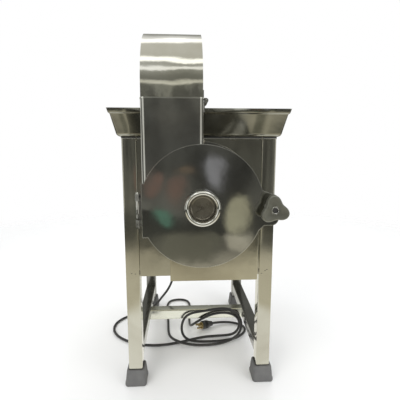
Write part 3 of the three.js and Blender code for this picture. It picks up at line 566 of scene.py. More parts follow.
def plug_pieces():
    """A moulded three-pin plug, drawn along +Z and laid in line with the end of the cord."""
    last, before = (Vector(p) * MM for p in (CORD_ROUTE[-1], CORD_ROUTE[-2]))
    turn = Vector((0, 0, 1)).rotation_difference(last - before).to_matrix().to_4x4()
    laid = Matrix.Translation(last) @ turn
    profile = [(0, GRIP[0][1])] + GRIP
    for i in range(5):
        z = GRIP[-1][1] + i * 0.0022
        profile += [(PLUG_RADIUS, z + 0.0004), (PLUG_RADIUS, z + 0.0012), (PLUG_RADIUS - 0.0009, z + 0.0017)]
    profile += [(PLUG_RADIUS, PLUG_FACE - 0.008), (PLUG_RADIUS, PLUG_FACE - 0.001)]
    profile += [(PLUG_RADIUS - 0.001, PLUG_FACE), (0, PLUG_FACE)]
    body = turned("plug_moulding", "Z", (0, 0), profile, 64, closed=False)
    pins = []
    for i, (radius, across, up, length) in enumerate(PIN_SET):
        tip = PLUG_FACE + length
        outline = [(0, PLUG_FACE - 0.002), (radius, PLUG_FACE - 0.002), (radius, tip - 0.002)]
        outline += [(radius * 0.85, tip - 0.0006), (radius * 0.5, tip), (0, tip)]
        pins.append(turned(f"plug_pin_{i}", "Z", (across, up), outline, 32, closed=False))
    radius, near, far = PLUG_CARRIER
    carrier = [(0, near), (radius, near), (radius, far), (0, far)]
    pins.append(turned("plug_carrier", "Z", (0, 0), carrier, 64, closed=False))
    prongs = joined("plug_prongs", *pins)
    for made in (body, prongs):
        made.data.transform(laid)
    piece(body, "frame", "black_plastic", ["plug_body"])
    piece(prongs, "frame", "brass", ["plug_pins"])
    return body, prongs


def mains_cord():
    exit_point = Vector(CORD_ROUTE[0]) * MM
    cord = cord_curve()
    pieces = [strain_relief(exit_point), *plug_pieces()]


mains_cord()

# ---- Stand and cabinet -------------------------------------------------------------------------------

LEGS = ["front_left", "front_right", "rear_left", "rear_right"]
TUBE_WALL = 0.002
TUBE_CORNER = 0.0035


def square_tube(name, node, plane, along, material):
    """A square tube in place of a CAD one, with its section in the plane and running on the axis along."""
    low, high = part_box(node)
    first, second = [axis for axis in range(3) if axis != along]
    u0, u1, v0, v1 = low[first], high[first], low[second], high[second]
    outer = rounded(u0, u1, v0, v1, TUBE_CORNER)
    wall = TUBE_WALL
    inner = rounded(u0 + wall, u1 - wall, v0 + wall, v1 - wall, TUBE_CORNER - wall / 2)
    tube = prism(name, plane, [outer, inner], low[along], high[along])
    return piece(round_edges(tube, 0.0003), "frame", material, [node])


def shoe(name, node):
    """A moulded rubber shoe: a flared skirt with a rolled foot, a soft shoulder, and a pocket for the leg."""
    low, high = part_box(node)
    middle = (low + high) / 2
    tall = high.z
    half = (high.x - low.x) / 2
    pocket = 0.0194
    sections = [  # half width, height, corner radius
        (half - 0.004, 0, 0.006),
        (half - 0.0012, 0.0008, 0.008),
        (half, 0.004, 0.009),
        (half - 0.0003, 0.010, 0.009),
        (half - 0.0016, 0.012, 0.0085),
        (half - 0.0046, tall - 0.004, 0.008),
        (half - 0.0056, tall - 0.001, 0.0075),
        (half - 0.0075, tall, 0.006),
        (pocket + 0.0006, tall, 0.0035),
        (pocket, tall - 0.001, 0.003),
        (pocket, 0.0062, 0.003),
    ]
    rings = []
    for reach, height, corner in sections:
        outline = rounded(middle.x - reach, middle.x + reach, middle.y - reach, middle.y + reach, corner, 8)
        rings.append([(x, y, height) for x, y in outline])
    made = loft(name, rings, under=50)
    return piece(made, "frame", "grey_rubber", [node])


def stand():
    for corner in LEGS:
        # front legs take the pale tube; rear legs take a darker copy that paints shade and dark reflection
        material = "leg_tube" if corner.startswith("front") else "shaded_tube"
        square_tube(f"leg_tube_{corner}", f"leg_{corner}", "XY", 2, material)
        shoe(f"rubber_shoe_{corner}", f"shoe_{corner}")
    # the rails take the same darker copy, with painted shade
    for side in ("left", "right"):
        square_tube(f"rail_tube_{side}", f"side_rail_{side}", "XZ", 1, "shaded_tube")
    square_tube("cross_tube", "crossbar", "YZ", 0, "bar_tube")


LOUVRE = {"count": 7, "first": 0.430, "pitch": 0.026}
LOUVRE_SHAPE = {"half": 0.1, "tall": 0.010, "lip": 0.006, "skin": 0.0009}


def louvred_panel():
    """The rear sheet, with a pressed hood standing over each of its slots."""
    low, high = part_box("rear_panel")
    sheet = [(low.x, low.z), (high.x, low.z), (high.x, high.z), (low.x, high.z)]
    slots, hoods = [], []
    half, tall, lip, skin = LOUVRE_SHAPE.values()
    for i in range(LOUVRE["count"]):
        z = LOUVRE["first"] + LOUVRE["pitch"] * i
        slots.append([(-half, z), (half, z), (half, z + tall), (-half, z + tall)])
        bend = arc(high.y - 0.0006, 0, lip + 0.0006, 90, 0, 10)
        section = [(y, z + 0.011 - (lip - rise) * 1.5) for y, rise in bend]
        inner = [(y - skin, height - skin) for y, height in reversed(section)]
        hoods.append(prism(f"hood_{i}", "YZ", [section + inner], -half - 0.002, half + 0.002))
    panel = prism("rear_sheet", "XZ", [sheet, *slots], low.y, high.y)
    made = joined("louvred_panel", panel, *hoods)
    return piece(made, "frame", "panel_sheet", ["rear_panel"])


WELD_SPOTS = [(-0.186, 0.329), (-0.176, 0.327), (0.168, 0.322), (0.178, 0.330), (0.183, 0.333)]
DUCT_SPOT = {"height": 0.6745, "tall": 0.005, "inset": 0.0006, "radius": 0.0022}
TACK = {"tall": 0.012, "radius": 0.0016, "spot_radius": 0.0013, "proud": 0.0002}


def tack_welds():
    """Short ground welds up the front sheet's edges, spots along its foot, and one beside the duct."""
    low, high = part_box("front_panel")
    face = low.y - TACK["proud"]
    spots = []
    for side in (-1, 1):
        x = side * (high.x + TACK["proud"])
        for i, z in enumerate((low.z + 0.004, low.z + 0.140, high.z - 0.010)):
            line = line_between((x, face, z), (x, face, z + TACK["tall"]))
            spots.append(bead(f"tack_{side}_{i}", line, TACK["radius"]))
    for x, z in WELD_SPOTS:
        line = line_between((x, face, z), (x + 0.004, face, z + 0.001))
        spots.append(bead(f"spot_{x}", line, TACK["spot_radius"]))
    duct_low, duct_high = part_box("feed_duct")
    spot = Vector((duct_high.x, duct_low.y + DUCT_SPOT["inset"], DUCT_SPOT["height"]))
    line = line_between(spot, spot + Vector((0, 0, DUCT_SPOT["tall"])))
    spots.append(bead("duct_spot", line, DUCT_SPOT["radius"]))
    welds = joined("tack_welds", *spots)
    return piece(welds, "frame", "weld")


# seal gives the heights of the black strip that paints the shadow under the tray; bead gives the height of
# the bright fold below it, which paints a highlight
CABINET_TOP = {"half": 0.1998, "front": -0.1861, "seal": (0.6892, 0.6924), "bead": 0.6880}


def cabinet_top():
    """A black strip under the tray that paints the shadow gap there, and below it a folded edge in a paler
    steel that paints its highlight.
    """
    half, front = CABINET_TOP["half"], CABINET_TOP["front"]
    low, high = CABINET_TOP["seal"]
    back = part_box("rear_panel")[1].y
    loop = rounded(-half, half, front, back, 0.003)
    inner = rounded(-half + 0.0016, half - 0.0016, front + 0.0016, back - 0.0016, 0.002)
    proud = rounded(-half - 0.0010, half + 0.0010, front - 0.0010, back + 0.0010, 0.004)
    # painted shadow: a black rubber strip where there is only the shade of the gap under the tray
    seal = prism("tray_shadow_strip", "XY", [proud, inner], low, high)
    piece(round_edges(seal, 0.0004), "frame", "black_rubber")
    # painted highlight: the fold is in the paler edge steel
    fold = prism("top_fold", "XY", [proud, loop], CABINET_TOP["bead"] - 0.0012, CABINET_TOP["bead"] + 0.0012)
    piece(round_edges(fold, 0.0004, 3), "frame", "highlight_steel")


def cabinet():
    cabinet_top()
    keep("front_panel", "panel_sheet")
    keep("left_panel", "panel_sheet")
    keep("right_panel", "panel_sheet")
    keep("cabinet_base", "chute_sheet")
    keep("motor_shelf", "chute_sheet")
    louvred_panel()
    tack_welds()


stand()
cabinet()

# ---- Feed tray, duct and hood ------------------------------------------------------------------------

SHEET = 0.0016
TRAY_CORNER = 0.009
TRAY_LEAN = 0.017  # how far the rim stands out past the tray's foot
TRAY_SECTION = [  # how far out from the tray's foot, and how high above its floor
    *[(-0.010 + x, 0.010 + z) for x, z in arc(0, 0, 0.010, -90, -12, 6)],
    (0.0105, 0.0535),
    (0.0112, 0.0550),
    (0.0124, 0.0556),
    (0.0136, 0.0562),
    (0.0142, 0.0575),
    (0.0168, 0.0664),
    (0.0168, 0.0672),
    (0.0160, 0.0674),
    (0.0152, 0.0668),
    (0.0128, 0.0585),
]


def tray_ring(out, height, tray, duct_left, duct_right):
    """The tray's edge all the way round from one side of the duct to the other."""
    x = tray["half"] + out
    front, back = tray["front"] - out, tray["back"] + out
    corner = TRAY_CORNER - max(0, out) * 0.3
    corners = [
        arc(x - corner, front + corner, corner, -90, 0, 8),
        arc(x - corner, back - corner, corner, 0, 90, 8),
        arc(-x + corner, back - corner, corner, 90, 180, 8),
        arc(-x + corner, front + corner, corner, 180, 270, 8),
    ]
    path = [(duct_right, front)] + [p for part in corners for p in part] + [(duct_left, front)]
    return [(px, py, tray["floor"] + height) for px, py in path]


def feed_tray():
    low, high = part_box("feed_tray")
    tray = {
        "half": high.x - TRAY_LEAN,
        "front": low.y + TRAY_LEAN,
        "back": high.y - TRAY_LEAN,
        "floor": low.z,
    }
    duct_low, duct_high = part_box("feed_duct")
    ends = (duct_low.x + 0.0007, duct_high.x - 0.0007)
    rings = [tray_ring(out, height, tray, *ends) for out, height in TRAY_SECTION]
    count = len(rings[0])
    points = [p for ring in rings for p in ring]
    faces = [
        (r * count + i, r * count + i + 1, (r + 1) * count + i + 1, (r + 1) * count + i)
        for r in range(len(rings) - 1)
        for i in range(count - 1)
    ]
    notch = duct_high.y + 0.0006
    base = len(points)
    points += [(ends[1], notch, tray["floor"]), (ends[0], notch, tray["floor"])]
    faces.append((*range(count), base + 1, base))
    mesh = mesh_of("feed_tray_sheet", points, faces)
    made = new_object("feed_tray_sheet", mesh, 45)
    skin = made.modifiers.new("thickness", "SOLIDIFY")
    skin.thickness = SHEET
    skin.offset = -1
    return piece(made, "frame", "tray_sheet", ["feed_tray"])


DRUM_AXIS = tuple((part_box("rotor")[0][axis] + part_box("rotor")[1][axis]) / 2 for axis in (0, 2))
DRUM_RADIUS = 0.141
DRUM_SIDES = 192
DUCT_CORNER = 0.011
CUT_PAST = 0.02  # how far a cutting drum reaches past what it cuts


def drum_cutter(front, back):
    """The drum's own round, to cut away whatever is welded down on it."""
    radius = DRUM_RADIUS + 0.0003
    near, far = front - CUT_PAST, back + CUT_PAST
    profile = [(0, near), (radius, near), (radius, far), (0, far)]
    return turned("drum_cut", "Y", DRUM_AXIS, profile, DRUM_SIDES, closed=False)


def duct_section(left, right, front, back, corner):
    """The duct's open-backed outline, seen from above."""
    return [
        (right, back),
        (left, back),
        *arc(left + corner, front + corner, corner, 180, 270, 10),
        *arc(right - corner, front + corner, corner, 270, 360, 10),
    ]


def feed_duct():
    """A bent sheet up the front of the tray, welded down round the drum, with a turned-out rim."""
    low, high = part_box("feed_duct")
    left, right = low.x + 0.001, high.x - 0.001
    front, back = low.y + 0.001, high.y
    outer = duct_section(left, right, front, back, DUCT_CORNER)
    inner = duct_section(left + SHEET, right - SHEET, front + SHEET, back - SHEET, DUCT_CORNER - SHEET)
    walls = prism("duct_walls", "XY", [outer, inner], low.z, high.z)
    drum = drum_cutter(front, back)
    mouth = block("mouth_cut", (left + SHEET, back - 2 * SHEET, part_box("feed_tray")[0].z + SHEET),
                  (right - SHEET, back + 0.01, high.z + 0.01))
    carve(walls, drum, mouth)
    rim_out = duct_section(left - 0.0009, right + 0.0009, front - 0.0009, back, DUCT_CORNER + 0.0009)
    rim_in = duct_section(left + 0.0004, right - 0.0004, front + 0.0004, back - 0.0004, DUCT_CORNER - 0.0004)
    rim = prism("duct_rim", "XY", [rim_out, rim_in], high.z - 0.0032, high.z)
    start = (left + SHEET, back - 0.004, high.z - 0.01)
    end = (right - SHEET, back + 0.01, high.z + 0.01)
    gap = block("rim_cut", start, end)
    carve(rim, gap)
    piece(round_edges(walls, 0.0004), "frame", "dark_sheet", ["feed_duct"])
    # the rim is in the paler steel that paints a highlight along the duct's top edge
    piece(round_edges(rim, 0.0005, 3), "frame", "highlight_steel")


HOOD_STRAIGHT = 0.022
HOOD_RADIUS = 0.150
HOOD_STEPS = 64
HOOD_LIP = 0.0016  # radius of the rolled edge at its mouth


def splash_hood():
    """A quarter bend of sheet between two cheeks, with a lip along its open mouth."""
    low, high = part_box("splash_hood")
    front, bottom, back = low.y, low.z, high.y
    centre_y, centre_z = front + HOOD_RADIUS, bottom + HOOD_STRAIGHT

    def skin(inset):
        bend = arc(centre_y, centre_z, HOOD_RADIUS - inset, 90, 180, HOOD_STEPS)
        return [(back, centre_z + HOOD_RADIUS - inset), *bend, (front + inset, bottom)]

    band = skin(0) + list(reversed(skin(SHEET)))
    shell = prism("hood_band", "YZ", [band], low.x, high.x)
    cheek = skin(0.0003) + [(back, bottom)]
    sides = [
        prism("hood_cheek_left", "YZ", [cheek], low.x + 0.0004, low.x + SHEET),
        prism("hood_cheek_right", "YZ", [cheek], high.x - SHEET, high.x - 0.0004),
    ]
    roll = circle(back - HOOD_LIP, centre_z + HOOD_RADIUS - HOOD_LIP, HOOD_LIP, 20)
    lip = prism("hood_lip", "YZ", [roll], low.x, high.x)
    made = round_edges(joined("splash_hood_sheet", shell, *sides, lip), 0.0004)
    return piece(made, "hood", "hood_sheet", ["splash_hood"])


def hood_hinge():
    keep("hood_hinge_lower_leaf", "milled", 0.0003)
    keep("hood_hinge_upper_leaf", "milled", 0.0003)
    low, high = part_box("hood_hinge_pin")
    x, z, radius = (low.x + high.x) / 2, (low.z + high.z) / 2, (high.x - low.x) / 2
    profile = [(0, low.y), (radius * 0.7, low.y), (radius, low.y + 0.0006), (radius, high.y - 0.0006),
               (radius * 0.7, high.y), (0, high.y)]
    pin = turned("hood_pin", "Y", (x, z), profile, 32, closed=False)
    piece(pin, "frame", "milled", ["hood_hinge_pin"])


feed_tray()
feed_duct()
splash_hood()
hood_hinge()

# ---- Grinding chamber --------------------------------------------------------------------------------


FLANGE_LIP = [  # how far in from the flange's rim, and in front of its back
    (0.0022, 0.0031),
    (0.0018, 0.0036),
    (0.0006, 0.0036),
    (0, 0.0030),
    (0, 0.0020),
    (0.0022, 0.0020),
]


def chamber_casing():
    """The welded drum: back plate and flange, barrel, and the turned-in seat behind the door."""
    low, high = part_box("chamber_casing")
    front, back = low.y, high.y
    flange = (high.z - low.z) / 2
    shaft_hole, barrel = 0.022, DRUM_RADIUS - 0.002
    profile = [
        (shaft_hole, back),
        (shaft_hole, back - 0.002),
        (barrel, back - 0.002),
        (barrel, front + 0.002),
        (0.130, front + 0.002),
        (0.130, front + 0.0004),
        (0.1304, front),
        (DRUM_RADIUS - 0.0005, front),
        (DRUM_RADIUS, front + 0.0005),
        (DRUM_RADIUS, back - 0.0034),
        (DRUM_RADIUS + 0.0004, back - 0.003),
        (flange - 0.0005, back - 0.003),
        (flange, back - 0.0025),
        (flange, back),
    ]
    drum = turned("drum_shell", "Y", DRUM_AXIS, profile, DRUM_SIDES)
    duct_low, duct_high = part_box("feed_duct")
    chute_low, chute_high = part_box("discharge_chute")
    infeed = block("infeed_cut", (duct_low.x + 0.003, front + 0.002, duct_low.z),
                   (duct_high.x - 0.003, back - 0.005, duct_low.z + flange))
    outlet = block("outlet_cut", (chute_low.x + 0.002, chute_low.y + 0.002, low.z - 0.01),
                   (chute_high.x - 0.002, back - 0.005, 0.497))
    carve(drum, infeed, outlet)
    piece(drum, "frame", "dark_sheet", ["chamber_casing"])
    lip = [(flange - inset, back - deep) for inset, deep in FLANGE_LIP]
    # the lip round the flange is in the paler steel that paints a highlight along its rim
    piece(turned("flange_lip", "Y", DRUM_AXIS, lip, DRUM_SIDES), "frame", "highlight_steel")


PERFORATION = {"pitch": 0.0062, "radius": 0.0021, "sides": 8, "from": -126, "to": -8}


def screen():
    """A curved sheet with rows of round holes, made cell by cell and given its thickness."""
    low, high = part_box("screen")
    radius = 0.1373
    start, end = math.radians(PERFORATION["from"]), math.radians(PERFORATION["to"])
    columns = round(radius * (end - start) / PERFORATION["pitch"])
    rows = round((high.y - low.y) / PERFORATION["pitch"])
    angle_step, y_step = (end - start) / columns, (high.y - low.y) / rows
    points, faces = [], []

    def on_drum(column, row):
        angle = start + angle_step * column
        x, z = radius * math.cos(angle) + DRUM_AXIS[0], radius * math.sin(angle) + DRUM_AXIS[1]
        return (x, low.y + y_step * row, z)

    frame_cell = [(-1, -1), (0, -1), (1, -1), (1, 0), (1, 1), (0, 1), (-1, 1), (-1, 0)]
    hole = PERFORATION["radius"] / PERFORATION["pitch"]
    for column in range(columns):
        for row in range(rows):
            first = len(points)
            for u, v in frame_cell:
                points.append(on_drum(column + 0.5 + u / 2, row + 0.5 + v / 2))
            for u, v in frame_cell:
                size = hole / math.hypot(u, v)
                points.append(on_drum(column + 0.5 + u * size, row + 0.5 + v * size))
            for i in range(8):
                after = (i + 1) % 8
                faces.append((first + i, first + after, first + 8 + after, first + 8 + i))
    made = new_object("perforated_screen", mesh_of("perforated_screen", points, faces), 50)
    skin = made.modifiers.new("thickness", "SOLIDIFY")
    skin.thickness = 0.0015
    skin.offset = 0
    return piece(made, "frame", "milled", ["screen"])


def discharge_chute():
    low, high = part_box("discharge_chute")
    outer = rounded(low.x, high.x, low.y, high.y, 0.006, 8)
    inner = rounded(low.x + SHEET, high.x - SHEET, low.y + SHEET, high.y - SHEET, 0.0044, 8)
    walls = prism("chute_walls", "XY", [outer, inner], low.z, DRUM_AXIS[1])
    made = round_edges(carve(walls, drum_cutter(low.y, high.y)), 0.0004)
    return piece(made, "frame", "chute_sheet", ["discharge_chute"])


chamber_casing()
screen()
discharge_chute()
keep("shaft_seal", "black_rubber", 0.0003)

# ---- Door, boss and clamp ----------------------------------------------------------------------------

DOOR_FACE, DOOR_BACK = -0.2972, -0.2942
DOOR_RADIUS = 0.144
DOOR_RIM = 0.0008  # how far the door's edge is rounded over
DOOR_LIP = {"width": 0.0016, "proud": 0.0005, "sunk": 0.0012}
TAB = {"left": -0.139, "bottom": 0.457, "top": 0.583}
EAR_TURNS = [  # centre across and up, radius, from and to in degrees
    (0.162, 0.500, 0.017, 270, 360),
    (0.162, 0.540, 0.017, 0, 75),
]
EAR_FOOT = [(0.132, 0.472), (0.146, 0.483)]
EAR_HEAD = (0.138, 0.566)
STUD = {"x": 0.160, "z": 0.525, "radius": 0.0055, "pitch": 0.0015, "depth": 0.0008, "hole": 0.0065}
HINGE = {"x": -0.148, "y": -0.2957, "knuckle": 0.0045, "bore": 0.0034}
DOOR_KNUCKLES = [(0.491, 0.4985), (0.543, 0.5505)]


def bearing(x, z):
    """The angle of a point about the drum's axis, in degrees."""
    return math.degrees(math.atan2(z - DRUM_AXIS[1], x - DRUM_AXIS[0])) % 360


def on_disc(z):
    """How far left the disc's rim is at a height."""
    return -math.sqrt(DOOR_RADIUS**2 - (z - DRUM_AXIS[1]) ** 2)


def door_outline():
    top_left = (on_disc(TAB["top"]), TAB["top"])
    bottom_left = (on_disc(TAB["bottom"]), TAB["bottom"])
    upper = arc(*DRUM_AXIS, DOOR_RADIUS, bearing(*EAR_HEAD), bearing(*top_left), 110)
    lower = arc(*DRUM_AXIS, DOOR_RADIUS, bearing(*bottom_left), bearing(*EAR_FOOT[0]), 110)
    tab = [(TAB["left"], TAB["top"]), (TAB["left"], TAB["bottom"])]
    ear = [point for turn in EAR_TURNS for point in arc(*turn, 12)]
    return upper + tab + lower + EAR_FOOT[1:] + ear


def moved_in(loop, distance):
    """The same closed loop, moved inwards; it runs anticlockwise."""
    inside = []
    for i, point in enumerate(loop):
        here = Vector(point)
        before = (here - Vector(loop[i - 1])).normalized()
        after = (Vector(loop[(i + 1) % len(loop)]) - here).normalized()
        first, second = Vector((-before.y, before.x)), Vector((-after.y, after.x))
        corner = first + second
        inside.append(tuple(here + corner * distance / max(0.4, corner.dot(first))))
    return inside


def door_edge():
    """The rounded-over lip that runs round the door's face, in a paler steel that paints a highlight along
    its edge.
    """
    outline = door_outline()
    loops = [outline, moved_in(outline, DOOR_LIP["width"])]
    lip = prism("door_lip", "XZ", loops, DOOR_FACE - DOOR_LIP["proud"], DOOR_FACE + DOOR_LIP["sunk"])
    return piece(round_edges(lip, 0.0005, 3), "door", "highlight_steel")


def collar(bore, radius, low, high, edge=0.0004):
    """The profile of a ring with its outer corners taken off."""
    return [
        (bore, low),
        (bore, high),
        (radius - edge, high),
        (radius, high - edge),
        (radius, low + edge),
        (radius - edge, low),
    ]


def chamber_door():
    hole = circle(STUD["x"], STUD["z"], STUD["hole"], 48)
    plate = prism("door_plate", "XZ", [door_outline(), hole], DOOR_FACE, DOOR_BACK)
    round_edges(plate, DOOR_RIM, 3)
    leaves = []
    for low, high in DOOR_KNUCKLES:
        barrel = collar(HINGE["bore"], HINGE["knuckle"], low, high)
        leaves.append(turned("door_knuckle", "Z", (HINGE["x"], HINGE["y"]), barrel, 40))
        start = (HINGE["x"] + HINGE["knuckle"] * 0.9, DOOR_FACE, low)
        leaves.append(block("door_leaf", start, (TAB["left"] + 0.001, DOOR_BACK, high)))
    piece(plate, "door", "door_sheet", ["chamber_door"])
    piece(joined("door_knuckles", *leaves), "door", "milled")


def door_gasket():
    low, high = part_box("door_gasket")
    outer = (high.x - low.x) / 2
    bore, edge = 0.131, 0.0004
    profile = [(bore, low.y), (bore, high.y), (outer, high.y), (outer, low.y + edge), (outer - edge, low.y)]
    seal = turned("door_seal", "Y", DRUM_AXIS, profile, 160)
    piece(seal, "door", "black_rubber", ["door_gasket"])


BOSS = {"middle": 0.0356, "half": 0.0054, "tall": 0.0075, "face": 0.0253, "foot": 0.0003}


CAP_RIM = [  # how far in from the cap's rim, and how far behind its face
    (0, 0.0024),
    (0.0004, 0.002),
    (0.0027, 0.002),
    (0.0029, 0.0016),
    (0.0053, 0.0004),
    (0.0057, 0),
]
GROOVES = {"count": 9, "first": 0.0075, "pitch": 0.0022}


def boss():
    """A turned ring standing on the door's face, and the grooved cap inside it."""
    turns = [math.radians(180 - 10 * i) for i in range(19)]
    crown = BOSS["face"] - BOSS["tall"]
    middle, half, tall = BOSS["middle"], BOSS["half"], BOSS["tall"]
    rounding = [(middle + half * math.cos(a), crown + tall * math.sin(a)) for a in turns]
    rows = [(rounding[0][0], BOSS["foot"]), *rounding, (rounding[-1][0], BOSS["foot"])]
    profile = [(radius, DOOR_FACE - height) for radius, height in rows]
    ring = turned("boss_ring_turned", "Y", DRUM_AXIS, profile, 128)
    piece(ring, "door", "chrome", ["boss_ring"])
    low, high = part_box("boss_cap")
    face, radius = low.y, (high.x - low.x) / 2
    rows = [(0, high.y), (radius, high.y), *((radius - inset, face + deep) for inset, deep in CAP_RIM)]
    for i in range(GROOVES["count"]):
        groove = radius - GROOVES["first"] - GROOVES["pitch"] * i
        rows += [(groove + 0.0008, face), (groove + 0.0004, face + 0.0003), (groove, face)]
    rows += [(0.0022, face), (0.0016, face + 0.0012), (0, face + 0.0016)]
    cap = turned("boss_cap_turned", "Y", DRUM_AXIS, rows, 128, closed=False)
    piece(cap, "door", "turned_dark", ["boss_cap"])


KNOB = {"mean": 0.028, "lobe": 0.006, "turn": 98, "front": -0.336, "back": -0.318, "end": -0.2998}
KNOB_ROWS = [  # how far in from the lobed outline, and how far behind the knob's face
    (0.0100, 0.0010),
    (0.0060, 0.0003),
    (0.0040, 0),
    (0.0022, 0.0005),
    (0.0008, 0.0017),
    (0.0001, 0.0035),
    (0, 0.0060),
    (0, 0.0130),
    (0.0004, 0.0155),
    (0.0016, 0.0172),
    (0.0032, 0.0180),
]


BUSH_ROWS = [  # radius, and how far behind the knob's face
    (0.0062, 0.0006),
    (0.0067, 0.0002),
    (0.0086, 0.0002),
    (0.0090, 0.0006),
    (0.0090, 0.0014),
    (0.0062, 0.0040),
]
INSERT_ROWS = [  # the same for the insert inside it
    (0, 0.0036),
    (0.0054, 0.0034),
    (0.0058, 0.0040),
    (0.0058, 0.0074),
    (0, 0.0074),
]


def clamp_knob():
    """A cast three-lobed knob with a countersunk, threaded hole through it and a turned hub behind."""
    sides = 120
    middle = Vector((STUD["x"], 0, STUD["z"]))

    def ring(inset, y, radius=None):
        points = []
        for i in range(sides):
            turn = TAU * i / sides
            reach = KNOB["mean"] + KNOB["lobe"] * math.cos(3 * (turn - math.radians(KNOB["turn"]))) - inset
            reach = radius or reach
            points.append(middle + Vector((reach * math.cos(turn), y, reach * math.sin(turn))))
        return points

    front = KNOB["front"]
    rings = [ring(0, front + 0.0012, 0.0100), *(ring(inset, front + deep) for inset, deep in KNOB_ROWS)]
    back, end = KNOB["back"], KNOB["end"]
    hub = [
        (0.0155, back),
        (0.0142, back + 0.0012),
        (0.0140, back + 0.003),
        (0.0140, end - 0.0006),
        (0.0134, end),
        (0.0059, end),
        (0.0059, front + 0.0042),
        (0.0085, front + 0.0016),
        (0.0090, front + 0.0005),
        (0.0095, front + 0.0005),
        (0.0100, front + 0.0012),
    ]
    rings += [ring(0, y, radius) for radius, y in hub]
    knob = loft("clamp_knob_cast", rings, (False, False), 50)
    return piece(knob, "clamp_knob", "knob_cast", ["clamp_knob"])


def bright_bush():
    """The machined insert whose lip shows round the knob's hole."""
    profile = [(radius, KNOB["front"] + deep) for radius, deep in BUSH_ROWS]
    bush = turned("knob_bush", "Y", (STUD["x"], STUD["z"]), profile, 48)
    return piece(bush, "clamp_knob", "chrome")


def knob_insert():
    """The dark locking insert down inside the knob's hole."""
    profile = [(radius, KNOB["front"] + deep) for radius, deep in INSERT_ROWS]
    insert = turned("knob_insert", "Y", (STUD["x"], STUD["z"]), profile, 40, closed=False)
    return piece(insert, "clamp_knob", "black_plastic")


def clamp_stud():
    """A threaded stud, cut as a true helix."""
    low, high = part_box("clamp_stud")
    sides, row = 36, STUD["pitch"] / 6
    count = round((high.y - low.y) / row)
    rings = []
    for i in range(count + 1):
        y = low.y + (high.y - low.y) * i / count
        taper = min(i, count - i, 6) / 6
        ring = []
        for k in range(sides):
            turn = TAU * k / sides
            share = ((y - low.y) / STUD["pitch"] + k / sides) % 1
            radius = STUD["radius"] - STUD["depth"] * abs(2 * share - 1) * taper - 0.0009 * (1 - taper)
            ring.append((STUD["x"] + radius * math.cos(turn), y, STUD["z"] + radius * math.sin(turn)))
        rings.append(ring)
    stud = loft("threaded_stud", rings, under=80)
    return piece(stud, "clamp_knob", "milled", ["clamp_stud"])


def clamp_washer():
    low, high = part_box("clamp_washer")
    radius = (high.x - low.x) / 2
    profile = [(0.0062, low.y), (0.0062, high.y), (radius - 0.0004, high.y), (radius, high.y - 0.0004),
               (radius, low.y + 0.0006), (radius - 0.0006, low.y)]
    washer = turned("plain_washer", "Y", (STUD["x"], STUD["z"]), profile, 64)
    return piece(washer, "clamp_washer", "milled", ["clamp_washer"])


chamber_door()
door_edge()
door_gasket()
boss()
clamp_knob()
bright_bush()
knob_insert()
clamp_stud()
clamp_washer()
keep("clamp_lug", "milled", 0.0008, 3)
keep("door_hinge_bracket", "milled", 0.0004)
keep("door_hinge_pin", "chrome", 0.0005)

# ---- Rotor and motor ---------------------------------------------------------------------------------

PIN_CIRCLE = 0.062
PIN_HOLE = 0.0063
HAMMER = {"heel": -0.013, "tip": 0.064, "half": 0.013, "corner": 0.004, "bore": 0.0064}
HAMMER_COUNT = 4


def rotor():
    low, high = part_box("rotor")
    radius, thick, bore, hub = (high.x - low.x) / 2, 0.005, 0.0128, 0.028
    turns = [TAU * i / HAMMER_COUNT for i in range(HAMMER_COUNT)]
    holes = [
        circle(DRUM_AXIS[0] + PIN_CIRCLE * math.cos(t), DRUM_AXIS[1] + PIN_CIRCLE * math.sin(t), PIN_HOLE, 32)
        for t in turns
    ]
    shape = [circle(*DRUM_AXIS, radius, 128), circle(*DRUM_AXIS, bore, 48), *holes]
    front = prism("rotor_front", "XZ", shape, low.y, low.y + thick)
    back = prism("rotor_back", "XZ", shape, high.y - thick, high.y)
    profile = [(bore, low.y + thick), (bore, high.y - thick), (hub, high.y - thick), (hub, low.y + thick)]
    middle = turned("rotor_hub", "Y", DRUM_AXIS, profile, 64)
    made = round_edges(joined("rotor_discs", front, back, middle), 0.0005)
    piece(made, "rotor", "milled", ["rotor"])


def hammers():
    for i in range(HAMMER_COUNT):
        node = f"hammer_{i + 1}"
        low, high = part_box(node)
        turn = TAU * i / HAMMER_COUNT
        shape = [
            rounded(HAMMER["heel"], HAMMER["tip"], -HAMMER["half"], HAMMER["half"], HAMMER["corner"]),
            circle(0, 0, HAMMER["bore"], 40),
        ]
        bar = prism(f"swing_hammer_{i + 1}", "XZ", shape, low.y, high.y)
        pin = (DRUM_AXIS[0] + PIN_CIRCLE * math.cos(turn), 0, DRUM_AXIS[1] + PIN_CIRCLE * math.sin(turn))
        bar.data.transform(Matrix.Translation(pin) @ Matrix.Rotation(-turn, 4, "Y"))
        piece(round_edges(bar, 0.0007), node, "milled", [node])
        keep(f"hammer_pin_{i + 1}", "milled", 0.0003)


def shaft():
    low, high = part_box("motor_shaft")
    radius = (high.x - low.x) / 2
    profile = [(0, low.y), (radius - 0.0015, low.y), (radius, low.y + 0.0015), (radius, high.y - 0.0015),
               (radius - 0.0015, high.y), (0, high.y)]
    bar = turned("motor_shaft_bar", "Y", DRUM_AXIS, profile, 64, closed=False)
    piece(bar, "rotor", "milled", ["motor_shaft"])


def motor():
    keep("rotor_nut", "milled", 0.001, 3)
    keep("motor_armature", "turned_dark", 0.0004)
    keep("motor_fan", "black_plastic", 0.0006)
    for node in ("motor_frame", "motor_front_bell", "motor_rear_bell", "motor_fan_cover", "terminal_box"):
        keep(node, "motor_paint", 0.0008, 3)
    keep("cord_gland", "black_plastic", 0.0006, 3)


rotor()
hammers()
shaft()
motor()

# ---- Floor, surroundings and lights ------------------------------------------------------------------

